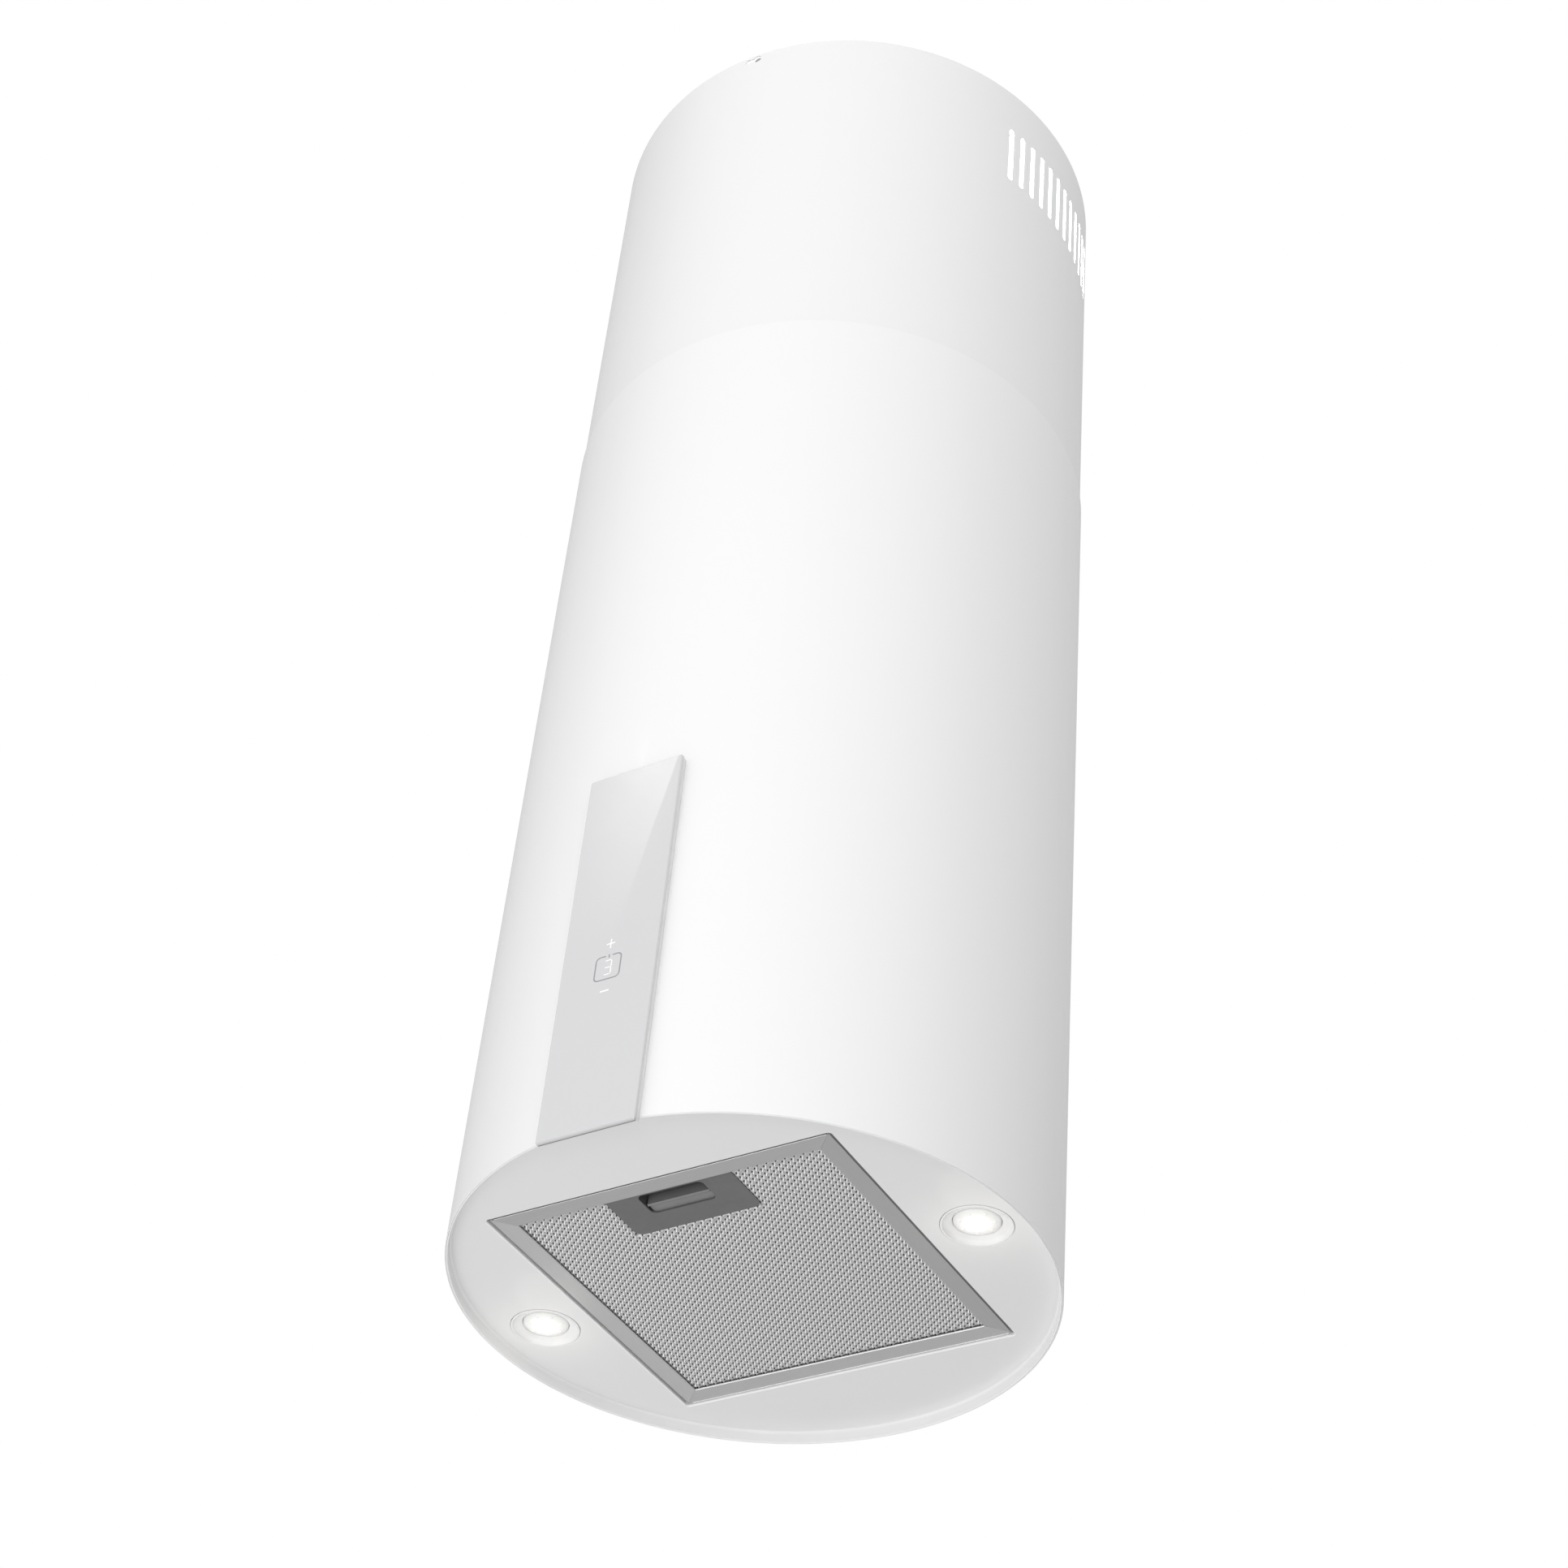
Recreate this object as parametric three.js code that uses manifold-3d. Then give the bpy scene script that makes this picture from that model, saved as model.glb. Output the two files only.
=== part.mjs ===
// Cylindrical island range hood: a white double sleeve that hangs from the ceiling on a telescopic
// frame, with a blower inside, a hinged grease filter, two lamps and a touch panel on the front.
//
// Millimetres, +Z up. The origin is the centre of the ceiling face, so the hood hangs down in -Z.
// The control panel faces -Y. Pieces of the lower half are drawn in their own group, where z = 0 is
// the plane of the bottom rim, so that a height there is a height above the rim.

import * as THREE from 'three';
import { mergeVertices } from 'three/addons/utils/BufferGeometryUtils.js';
import Module from 'manifold-3d';

const wasm = await Module();
wasm.setup();

// ---------------------------------------------------------------- driving dimensions

const HOOD_RADIUS = 195;           // outside of the lower sleeve
const TOTAL_HEIGHT = 1045;         // ceiling to bottom rim
const LOWER_SLEEVE_HEIGHT = 702;
const UPPER_SLEEVE_LENGTH = 400;
const SHEET = 0.8;                 // wall of both sleeves
const SLIDE_GAP = 0.35;            // between the two sleeves
const FIT = 0.3;                   // between pieces that touch
const ROUND = 64;                  // facets of the large round pieces
const RISE = 225;                  // how far the lower half can be raised
const PAST = 5;                    // how far a cutting solid goes past the face that it cuts

const LOWER_INNER_R = HOOD_RADIUS - SHEET;
const UPPER_OUTER_R = LOWER_INNER_R - SLIDE_GAP;
const UPPER_INNER_R = UPPER_OUTER_R - SHEET;

const VENT_COUNT = 12;
const VENT_PITCH = 3.66;           // degrees
const VENT_WIDTH = 5;
const VENT_TOP = -46.6;
const VENT_BOTTOM = -109;

const RIM_DEPTH = 8.5;             // bottom plate above the rim plane
const PLATE = 1;
const OPENING_HALF = 123;          // square opening for the filter
const COLLAR_TOP = 19.9;           // top of the upturned edge around it
const LAMP_X = 157.7;
const LAMP_MOUTH_R = 23.2;
const LAMP_HOLE_R = 24.9;
const LAMP_ROUND = 24;

const FILTER_HALF = 121.95;
const FILTER_STRIP = 14.6;
const FILTER_BOTTOM = 11;
const FILTER_TOP = 20;
const FILTER_SKIN = 1.2;           // sheet of the filter's channel frame

const BOX_HALF = 127;              // sheet box around the blower
const BOX_BOTTOM = RIM_DEPTH + PLATE + FIT;
const BOX_TOP = 300;

const BLOWER_Y = -12;              // blower axis, which runs along X
const BLOWER_Z = 150;
const IMPELLER_R = 62;
const IMPELLER_HALF = 50;
const SCROLL_MIN_R = 72;
const SCROLL_MAX_R = 122;
const HOUSING_HALF = 58;
const INLET_R = 54;
const HOUSING_WALL = 2;

const DUCT_Y = 62;                 // centre of the outlet collar and of the ceiling duct hole
const DUCT_R = 60;

const ANGLE_LEG = 22;              // frame uprights are angle sections
const ANGLE_SHEET = 1.5;
const LOWER_UPRIGHT_Z = [200, 690];
const BOLT_Z = 620;                // height of the bolts that set the hood's height
const BOLT_X = 116;
const UPRIGHT_OVERLAP_Z = 560;     // bottom of the upper frame, above the rim

const GLASS_WIDTH = 69.5;
const GLASS_BOTTOM = -5;
const GLASS_TOP = 279;
const GLASS_THICKNESS = 3;
const GLASS_BACK_Y = -(HOOD_RADIUS + FIT);

// ---------------------------------------------------------------- materials

const finish = (color, roughness, metalness) =>
  new THREE.MeshStandardMaterial({ color, roughness, metalness });

const WHITE_PAINT = finish(0xf2f2f3, 0.35, 0);
const GALVANISED = finish(0xb4b8bb, 0.45, 0.8);
const SATIN_ALUMINIUM = finish(0xa4a5a6, 0.45, 0.7);
const MESH_ALUMINIUM = finish(0xc2c3c4, 0.35, 0.8);
const GREY_PLASTIC = finish(0x727273, 0.55, 0);
const WHITE_GLASS = finish(0xe4e4e6, 0.08, 0);
const WHITE_PLASTIC = finish(0xe6e6e6, 0.5, 0);
const BLACK_PLASTIC = finish(0x222326, 0.55, 0);
const BOARD_GREEN = finish(0x1e5a3a, 0.5, 0);
const LAMP_WHITE = finish(0xffffff, 0.3, 0);
const STEEL = finish(0xc8cacc, 0.3, 0.9);
const MOTOR_GREY = finish(0x55585c, 0.5, 0.6);

// ---------------------------------------------------------------- solids

function toSolid(geometry) {
  const bare = geometry.index ? geometry.toNonIndexed() : geometry.clone();
  bare.deleteAttribute('normal');
  bare.deleteAttribute('uv');
  const merged = mergeVertices(bare, 1e-4);
  return new wasm.Manifold(new wasm.Mesh({
    numProp: 3,
    vertProperties: new Float32Array(merged.attributes.position.array),
    triVerts: new Uint32Array(merged.index.array),
  }));
}

function toGeometry(solid) {
  const mesh = solid.getMesh();
  const geometry = new THREE.BufferGeometry();
  geometry.setAttribute('position', new THREE.BufferAttribute(new Float32Array(mesh.vertProperties), 3));
  geometry.setIndex(new THREE.BufferAttribute(new Uint32Array(mesh.triVerts), 1));
  geometry.computeVertexNormals();
  return geometry;
}

// A pair of coordinates in rising order.
const span = (a, b) => [Math.min(a, b), Math.max(a, b)];

const join = (...solids) => solids.reduce((sum, solid) => sum.add(solid));
const cut = (body, ...tools) => tools.reduce((rest, tool) => rest.subtract(tool), body);

function box([x0, x1], [y0, y1], [z0, z1]) {
  const geometry = new THREE.BoxGeometry(x1 - x0, y1 - y0, z1 - z0);
  geometry.translate((x0 + x1) / 2, (y0 + y1) / 2, (z0 + z1) / 2);
  return toSolid(geometry);
}

// A solid of revolution about Z from [radius, height] pairs, moved to stand on (x, y).
function turned(profile, segments, x = 0, y = 0) {
  const geometry = new THREE.LatheGeometry(profile.map(([r, h]) => new THREE.Vector2(r, h)), segments);
  geometry.rotateX(Math.PI / 2);
  geometry.translate(x, y, 0);
  return outward(geometry);
}

// Solids of revolution come out inside-out when their profile runs the other way, so they are turned.
function outward(geometry) {
  const solid = toSolid(geometry);
  if (solid.volume() > 0) return solid;
  const flipped = geometry.index ? geometry.toNonIndexed() : geometry.clone();
  const points = flipped.attributes.position;
  for (let i = 0; i < points.count; i += 3) {
    const [ax, ay, az] = [points.getX(i), points.getY(i), points.getZ(i)];
    points.setXYZ(i, points.getX(i + 1), points.getY(i + 1), points.getZ(i + 1));
    points.setXYZ(i + 1, ax, ay, az);
  }
  return toSolid(flipped);
}

const rod = (radius, z0, z1, segments, x = 0, y = 0) =>
  turned([[0, z0], [radius, z0], [radius, z1], [0, z1]], segments, x, y);

const tube = (outer, inner, z0, z1, segments, x = 0, y = 0) =>
  turned([[inner, z0], [outer, z0], [outer, z1], [inner, z1], [inner, z0]], segments, x, y);

// The same about an axis along X through (y, z), from [radius, x] pairs.
function turnedAlongX(profile, segments, y, z) {
  const geometry = new THREE.LatheGeometry(profile.map(([r, x]) => new THREE.Vector2(r, x)), segments);
  geometry.rotateZ(-Math.PI / 2);
  geometry.translate(0, y, z);
  return outward(geometry);
}

const rodAlongX = (radius, x0, x1, segments, y, z) =>
  turnedAlongX([[0, x0], [radius, x0], [radius, x1], [0, x1]], segments, y, z);

const tubeAlongX = (outer, inner, x0, x1, segments, y, z) =>
  turnedAlongX([[inner, x0], [outer, x0], [outer, x1], [inner, x1], [inner, x0]], segments, y, z);

// The same about an axis along Y through (x, z).
function rodAlongY(radius, y0, y1, segments, x, z) {
  const geometry = new THREE.CylinderGeometry(radius, radius, y1 - y0, segments);
  geometry.translate(x, (y0 + y1) / 2, z);
  return toSolid(geometry);
}

// An outline in (y, z) pushed along X.
function slabAlongX(outline, x0, x1) {
  const shape = new THREE.Shape(outline.map(([y, z]) => new THREE.Vector2(y, z)));
  const geometry = new THREE.ExtrudeGeometry(shape, { depth: x1 - x0, bevelEnabled: false });
  geometry.applyMatrix4(new THREE.Matrix4().set(
    0, 0, 1, x0,
    1, 0, 0, 0,
    0, 1, 0, 0,
    0, 0, 0, 1));
  return toSolid(geometry);
}

// An outline in (x, y) pushed up from z0 to z1.
function slabAlongZ(shape, z0, z1, segments = 4) {
  const options = { depth: z1 - z0, bevelEnabled: false, curveSegments: segments };
  const geometry = new THREE.ExtrudeGeometry(shape, options);
  geometry.translate(0, 0, z0);
  return toSolid(geometry);
}

function roundedRect(x0, x1, y0, y1, radius) {
  const shape = new THREE.Shape();
  shape.moveTo(x0 + radius, y0);
  shape.lineTo(x1 - radius, y0);
  shape.absarc(x1 - radius, y0 + radius, radius, -Math.PI / 2, 0);
  shape.lineTo(x1, y1 - radius);
  shape.absarc(x1 - radius, y1 - radius, radius, 0, Math.PI / 2);
  shape.lineTo(x0 + radius, y1);
  shape.absarc(x0 + radius, y1 - radius, radius, Math.PI / 2, Math.PI);
  shape.lineTo(x0, y0 + radius);
  shape.absarc(x0 + radius, y0 + radius, radius, Math.PI, 1.5 * Math.PI);
  return shape;
}

// A square frame around the axis: outer and inner half side, bottom and top.
const squareRing = (outer, inner, z0, z1) => cut(
  box([-outer, outer], [-outer, outer], [z0, z1]),
  box([-inner, inner], [-inner, inner], [z0 - PAST, z1 + PAST]));

// ---------------------------------------------------------------- the scene

const hood = new THREE.Group();
const lowerHalf = new THREE.Group();
lowerHalf.position.z = -TOTAL_HEIGHT;
hood.add(lowerHalf);

function add(name, solid, material, parent = lowerHalf) {
  const mesh = new THREE.Mesh(toGeometry(solid), material);
  mesh.name = name;
  parent.add(mesh);
}

// ---------------------------------------------------------------- sleeves

// A vertical slot with round ends, cut through both sides of the tube at once.
function ventCutter(angleDeg) {
  const half = VENT_WIDTH / 2;
  const shape = new THREE.Shape();
  shape.absarc(0, VENT_TOP - half, half, 0, Math.PI);
  shape.absarc(0, VENT_BOTTOM + half, half, Math.PI, 2 * Math.PI);
  const reach = HOOD_RADIUS + PAST;
  const options = { depth: 2 * reach, bevelEnabled: false, curveSegments: 3 };
  const geometry = new THREE.ExtrudeGeometry(shape, options);
  geometry.rotateX(Math.PI / 2);
  geometry.translate(0, reach, 0);
  geometry.rotateZ(Math.PI / 2 + THREE.MathUtils.degToRad(angleDeg));
  return toSolid(geometry);
}

const KEYHOLE_Z = -5.4;
const KEYHOLE_ROUND_X = 14;        // centre of the round end, right of the middle
const KEYHOLE_ROUND_R = 3.8;
const KEYHOLE_SLOT_HALF = 2.2;
const KEYHOLE_SLOT_LENGTH = 8.5;

// The keyhole: a round end that passes a screw head and a narrow slot that it turns into.
function keyholeCutter(side) {
  const reach = span(side * (UPPER_INNER_R - PAST), side * (HOOD_RADIUS + PAST));
  const centre = -side * KEYHOLE_ROUND_X;
  const slotEnd = centre + side * KEYHOLE_SLOT_LENGTH;
  const slotZ = [KEYHOLE_Z - KEYHOLE_SLOT_HALF, KEYHOLE_Z + KEYHOLE_SLOT_HALF];
  return join(
    rodAlongY(KEYHOLE_ROUND_R, ...reach, 14, centre, KEYHOLE_Z),
    box(span(centre, slotEnd), reach, slotZ),
    rodAlongY(KEYHOLE_SLOT_HALF, ...reach, 10, slotEnd, KEYHOLE_Z));
}

function upperSleeve() {
  let sleeve = tube(UPPER_OUTER_R, UPPER_INNER_R, -UPPER_SLEEVE_LENGTH, 0, ROUND);
  for (let i = 0; i < VENT_COUNT; i += 1) {
    sleeve = sleeve.subtract(ventCutter((i - (VENT_COUNT - 1) / 2) * VENT_PITCH));
  }
  return cut(sleeve, keyholeCutter(-1), keyholeCutter(1));
}

const TRAY_HALF = 23.6;            // the part of the panel carrier that passes through the sleeve
const TRAY_BOTTOM = 14.4;
const TRAY_TOP = 267.6;
const WINDOW_GAP = 0.4;

function lowerSleeve() {
  const windowX = [-TRAY_HALF - WINDOW_GAP, TRAY_HALF + WINDOW_GAP];
  const windowZ = [TRAY_BOTTOM - WINDOW_GAP, TRAY_TOP + WINDOW_GAP];
  return cut(
    tube(HOOD_RADIUS, LOWER_INNER_R, 0, LOWER_SLEEVE_HEIGHT, ROUND),
    box(windowX, [-HOOD_RADIUS - PAST, -HOOD_RADIUS + PAST], windowZ));
}

add('upper_sleeve', upperSleeve(), WHITE_PAINT, hood);
add('lower_sleeve', lowerSleeve(), WHITE_PAINT);

// ---------------------------------------------------------------- ceiling bracket and upper frame

const CORNERS = [
  ['front_left', -1, -1], ['front_right', 1, -1], ['rear_right', 1, 1], ['rear_left', -1, 1],
];

const BRACKET_R = 188;
const BRACKET_SHEET = 2;
const BRACKET_SKIRT = 24;
const ANCHOR_R = 3.5;
const ANCHOR_AT = 95;
const CABLE_HOLE_R = 9;
const CABLE_HOLE_X = -40;
const CABLE_HOLE_Y = -60;

function ceilingBracket() {
  const skirtInner = BRACKET_R - BRACKET_SHEET;
  const pan = turned([
    [0, -BRACKET_SHEET], [skirtInner, -BRACKET_SHEET], [skirtInner, -BRACKET_SKIRT],
    [BRACKET_R, -BRACKET_SKIRT], [BRACKET_R, 0], [0, 0],
  ], 48);
  const anchors = [];
  for (const [, sx, sy] of CORNERS) {
    anchors.push(rod(ANCHOR_R, -PAST, PAST, 10, sx * ANCHOR_AT, sy * ANCHOR_AT));
  }
  return cut(pan, ...anchors,
    rod(DUCT_R - 1, -PAST, PAST, 32, 0, DUCT_Y),
    rod(CABLE_HOLE_R, -PAST, PAST, 12, CABLE_HOLE_X, CABLE_HOLE_Y),
    screwHole(-1), screwHole(1));
}

const SCREW_SHANK_R = 2;
const SCREW_HEAD_R = 3.3;
const SCREW_HOLE_R = 2.4;
const SCREW_CLEARANCE = 1.6;       // between the head and the inside of the sleeve
const SCREW_INSIDE = 10;           // length of the shank behind the bracket's skirt

function screwHole(side) {
  const reach = span(side * (BRACKET_R - 2 * PAST), side * (BRACKET_R + PAST));
  return rodAlongY(SCREW_HOLE_R, ...reach, 10, -side * KEYHOLE_ROUND_X, KEYHOLE_Z);
}

// The screw that the sleeve's keyhole locks on, seen through the keyhole.
function sleeveScrew(side) {
  const x = -side * KEYHOLE_ROUND_X;
  const headBase = BRACKET_R + 3 * FIT;
  const shank = span(side * (BRACKET_R - SCREW_INSIDE), side * (headBase + 1));
  const head = span(side * headBase, side * (UPPER_INNER_R - SCREW_CLEARANCE));
  return join(
    rodAlongY(SCREW_SHANK_R, ...shank, 8, x, KEYHOLE_Z),
    rodAlongY(SCREW_HEAD_R, ...head, 12, x, KEYHOLE_Z));
}

// An angle section at a corner of a square: outer half side, heights, and which corner.
function upright(outer, z0, z1, sx, sy) {
  const inner = outer - ANGLE_SHEET;
  const end = outer - ANGLE_LEG;
  return join(
    box(span(sx * end, sx * outer), span(sy * inner, sy * outer), [z0, z1]),
    box(span(sx * inner, sx * outer), span(sy * end, sy * outer), [z0, z1]));
}

const UPPER_FRAME_HALF = BOX_HALF;
const LOWER_FRAME_HALF = BOX_HALF + FIT + ANGLE_SHEET;
const BOLT_R = 2.5;
const BOLT_HOLE_R = 2.9;
const SLOT_MARGIN = 8;

function upperUpright(sx, sy) {
  const bottom = UPRIGHT_OVERLAP_Z - TOTAL_HEIGHT;
  const slot = [BOLT_Z - SLOT_MARGIN - TOTAL_HEIGHT, BOLT_Z + RISE + SLOT_MARGIN - TOTAL_HEIGHT];
  const faceY = span(sy * (UPPER_FRAME_HALF - PAST), sy * (UPPER_FRAME_HALF + PAST));
  const slotX = [sx * BOLT_X - BOLT_HOLE_R, sx * BOLT_X + BOLT_HOLE_R];
  return cut(upright(UPPER_FRAME_HALF, bottom, -BRACKET_SHEET - FIT, sx, sy), box(slotX, faceY, slot));
}

add('ceiling_bracket', ceilingBracket(), GALVANISED, hood);
add('sleeve_screw_front', sleeveScrew(-1), STEEL, hood);
add('sleeve_screw_rear', sleeveScrew(1), STEEL, hood);
for (const [corner, sx, sy] of CORNERS) {
  add(`upper_upright_${corner}`, upperUpright(sx, sy), GALVANISED, hood);
}

const BRACE_HEIGHT = 20;
const upperBraceHalf = UPPER_FRAME_HALF - ANGLE_SHEET - FIT;
const upperBraceZ = UPRIGHT_OVERLAP_Z - TOTAL_HEIGHT;
add('upper_frame_brace',
  squareRing(upperBraceHalf, upperBraceHalf - ANGLE_SHEET, upperBraceZ, upperBraceZ + BRACE_HEIGHT),
  GALVANISED, hood);

// The diverter takes the air of a recirculating hood from below and blows it out at both sides.
const DIVERTER_HALF_X = 118;
const DIVERTER_HALF_Y = 56;
const DIVERTER_Z = [-128, -10];
const DIVERTER_WALL = 2;
const DIVERTER_INLET_R = 54;
const DIVERTER_RIM = 18;

function airDiverter() {
  const [z0, z1] = DIVERTER_Z;
  const wall = DIVERTER_WALL;
  const y0 = DUCT_Y - DIVERTER_HALF_Y;
  const y1 = DUCT_Y + DIVERTER_HALF_Y;
  const outside = box([-DIVERTER_HALF_X, DIVERTER_HALF_X], [y0, y1], [z0, z1]);
  const passX = DIVERTER_HALF_X + PAST;
  const passage = box([-passX, passX], [y0 + wall, y1 - wall], [z0 + wall, z1 - wall]);
  const rimZ = z0 - DIVERTER_RIM;
  const inletRim = tube(DIVERTER_INLET_R + wall, DIVERTER_INLET_R, rimZ, z0 + wall / 2, 24, 0, DUCT_Y);
  const inlet = rod(DIVERTER_INLET_R, rimZ - PAST, z0 + PAST, 24, 0, DUCT_Y);
  return join(cut(outside, passage, inlet), inletRim);
}

add('air_diverter', airDiverter(), WHITE_PLASTIC, hood);

// ---------------------------------------------------------------- lower frame

const LOWER_BRACE_Z = 660;
const BOLT_HEAD_R = 4.6;
const BOLT_HEAD = 3.5;
const NUT = 4;

function lowerUpright(sx, sy) {
  const faceY = span(sy * (LOWER_FRAME_HALF - PAST), sy * (LOWER_FRAME_HALF + PAST));
  return cut(
    upright(LOWER_FRAME_HALF, ...LOWER_UPRIGHT_Z, sx, sy),
    rodAlongY(BOLT_HOLE_R, ...faceY, 8, sx * BOLT_X, BOLT_Z));
}

// Head, shank and nut of a bolt that clamps a lower upright to the slot of an upper one.
function heightBolt(sx, sy) {
  const x = sx * BOLT_X;
  const headBase = LOWER_FRAME_HALF + FIT;
  const nutOuter = UPPER_FRAME_HALF - ANGLE_SHEET - FIT;
  const range = (a, b) => span(sy * a, sy * b);
  return join(
    rodAlongY(BOLT_HEAD_R, ...range(headBase, headBase + BOLT_HEAD), 6, x, BOLT_Z),
    rodAlongY(BOLT_R, ...range(nutOuter - NUT - 1, headBase + 1), 8, x, BOLT_Z),
    rodAlongY(BOLT_HEAD_R, ...range(nutOuter - NUT, nutOuter), 6, x, BOLT_Z));
}

for (const [corner, sx, sy] of CORNERS) {
  add(`lower_upright_${corner}`, lowerUpright(sx, sy), GALVANISED);
  add(`height_bolt_${corner}`, heightBolt(sx, sy), STEEL);
}
const lowerBraceHalf = LOWER_FRAME_HALF + FIT;
add('lower_frame_brace',
  squareRing(lowerBraceHalf + ANGLE_SHEET, lowerBraceHalf, LOWER_BRACE_Z, LOWER_BRACE_Z + BRACE_HEIGHT),
  GALVANISED);

// ---------------------------------------------------------------- bottom plate and blower box

const PLATE_OUTER_R = LOWER_INNER_R - 2 * FIT;
const PLATE_BEND = 2.5;            // radius where the plate turns down into its flange
const BOX_SHEET = 1;
const GLAND_X = -88;
const GLAND_Y = -60;
const GLAND_BORE_R = 4.5;

function bottomPlate() {
  const inner = PLATE_OUTER_R - PLATE;
  const corner = 0.3 * PLATE_BEND;
  const top = RIM_DEPTH + PLATE;
  const pan = turned([
    [0, RIM_DEPTH], [inner - PLATE_BEND, RIM_DEPTH], [inner - corner, RIM_DEPTH - corner],
    [inner, RIM_DEPTH - PLATE_BEND], [inner, 0], [PLATE_OUTER_R, 0], [PLATE_OUTER_R, top], [0, top],
  ], ROUND);
  const edge = squareRing(OPENING_HALF + PLATE, OPENING_HALF, RIM_DEPTH + PLATE / 2, COLLAR_TOP);
  const cutZ = [RIM_DEPTH - PAST, COLLAR_TOP + PAST];
  const opening = box([-OPENING_HALF, OPENING_HALF], [-OPENING_HALF, OPENING_HALF], cutZ);
  const lampHoles = [-LAMP_X, LAMP_X].map((x) => rod(LAMP_HOLE_R, ...cutZ, LAMP_ROUND, x));
  return cut(join(pan, edge), opening, ...lampHoles);
}

function blowerBox() {
  const inner = BOX_HALF - BOX_SHEET;
  const topZ = [BOX_TOP - PAST, BOX_TOP + PAST];
  return cut(
    box([-BOX_HALF, BOX_HALF], [-BOX_HALF, BOX_HALF], [BOX_BOTTOM, BOX_TOP]),
    box([-inner, inner], [-inner, inner], [BOX_BOTTOM - PAST, BOX_TOP - BOX_SHEET]),
    rod(DUCT_R - 2, ...topZ, 32, 0, DUCT_Y),
    rod(GLAND_BORE_R, ...topZ, 12, GLAND_X, GLAND_Y));
}

add('bottom_plate', bottomPlate(), WHITE_PAINT);
add('blower_box', blowerBox(), GALVANISED);

// ---------------------------------------------------------------- blower

const SCROLL_START = THREE.MathUtils.degToRad(65);
const SCROLL_STEPS = 24;

// The scroll's outline in (y, z): a spiral that widens anticlockwise and then runs straight up.
function scrollOutline(inset, top) {
  const start = SCROLL_START;
  const steps = SCROLL_STEPS;
  const points = [];
  for (let i = 0; i <= steps; i += 1) {
    const angle = start + ((2 * Math.PI - start) * i) / steps;
    const radius = SCROLL_MIN_R + ((SCROLL_MAX_R - SCROLL_MIN_R) * i) / steps - inset;
    points.push([BLOWER_Y + radius * Math.cos(angle), BLOWER_Z + radius * Math.sin(angle)]);
  }
  const exitY = points[0][0] + 1.4 * inset;
  points.push([BLOWER_Y + SCROLL_MAX_R - inset, top]);
  points.push([exitY, top]);
  if (inset > 0) points.push([exitY, points[0][1]]);
  return points;
}

// One half of the plastic scroll, side = 1 for the right half and -1 for the left one.
function housingHalf(side) {
  const range = (a, b) => span(side * a, side * b);
  const joint = FIT / 2;
  const top = BOX_TOP - BOX_SHEET - FIT;
  return cut(
    slabAlongX(scrollOutline(0, top), ...range(joint, HOUSING_HALF)),
    slabAlongX(scrollOutline(HOUSING_WALL, top + PAST), ...range(joint - 1, HOUSING_HALF - HOUSING_WALL)),
    rodAlongX(INLET_R, ...range(HOUSING_HALF - PAST, HOUSING_HALF + PAST), 24, BLOWER_Y, BLOWER_Z));
}

const BLADE_COUNT = 24;
const BLADE_CHORD = 10;
const BLADE_SHEET = 1.2;
const SHAFT_R = 4;
const SHAFT_BORE_R = SHAFT_R + FIT;
const BLADE_TILT = THREE.MathUtils.degToRad(28);
const DISC_X = [0, 3];
const HUB_R = 10;
const HUB_X = [-3, 12];
const RING = 3;                    // thickness of the wheel's two end rings

function impeller() {
  const at = [BLOWER_Y, BLOWER_Z];
  const inner = IMPELLER_R - BLADE_CHORD;
  const outer = IMPELLER_R + 0.5;
  let wheel = join(
    tubeAlongX(IMPELLER_R, SHAFT_BORE_R, ...DISC_X, 32, ...at),
    tubeAlongX(HUB_R, SHAFT_BORE_R, ...HUB_X, 12, ...at),
    tubeAlongX(outer, inner, -IMPELLER_HALF, -IMPELLER_HALF + RING, 32, ...at),
    tubeAlongX(outer, inner, IMPELLER_HALF - RING, IMPELLER_HALF, 32, ...at));
  for (let i = 0; i < BLADE_COUNT; i += 1) {
    const blade = new THREE.BoxGeometry(2 * IMPELLER_HALF - 2, BLADE_SHEET, BLADE_CHORD - 1);
    blade.rotateX(BLADE_TILT);
    blade.translate(0, 0, IMPELLER_R - BLADE_CHORD / 2);
    blade.rotateX((2 * Math.PI * i) / BLADE_COUNT);
    blade.translate(0, ...at);
    wheel = wheel.add(toSolid(blade));
  }
  return wheel;
}

const SHAFT_X = [-19.5, 14];
const MOTOR_R = 36;

// Rear boss, rounded can, and a front boss that is bored for the shaft.
function motorBody() {
  const boreEnd = SHAFT_X[0] - 0.5;
  return turnedAlongX([
    [0, -HOUSING_HALF], [12, -HOUSING_HALF], [12, -46], [30, -46], [MOTOR_R, -42], [MOTOR_R, -12],
    [30, -8], [13, -8], [13, -5], [SHAFT_BORE_R, -5], [SHAFT_BORE_R, boreEnd], [0, boreEnd],
  ], 20, BLOWER_Y, BLOWER_Z);
}

const BRACKET_ARMS = 3;
const ARM_WIDTH = 9;
const BRACKET_HUB_R = 16;

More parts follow.
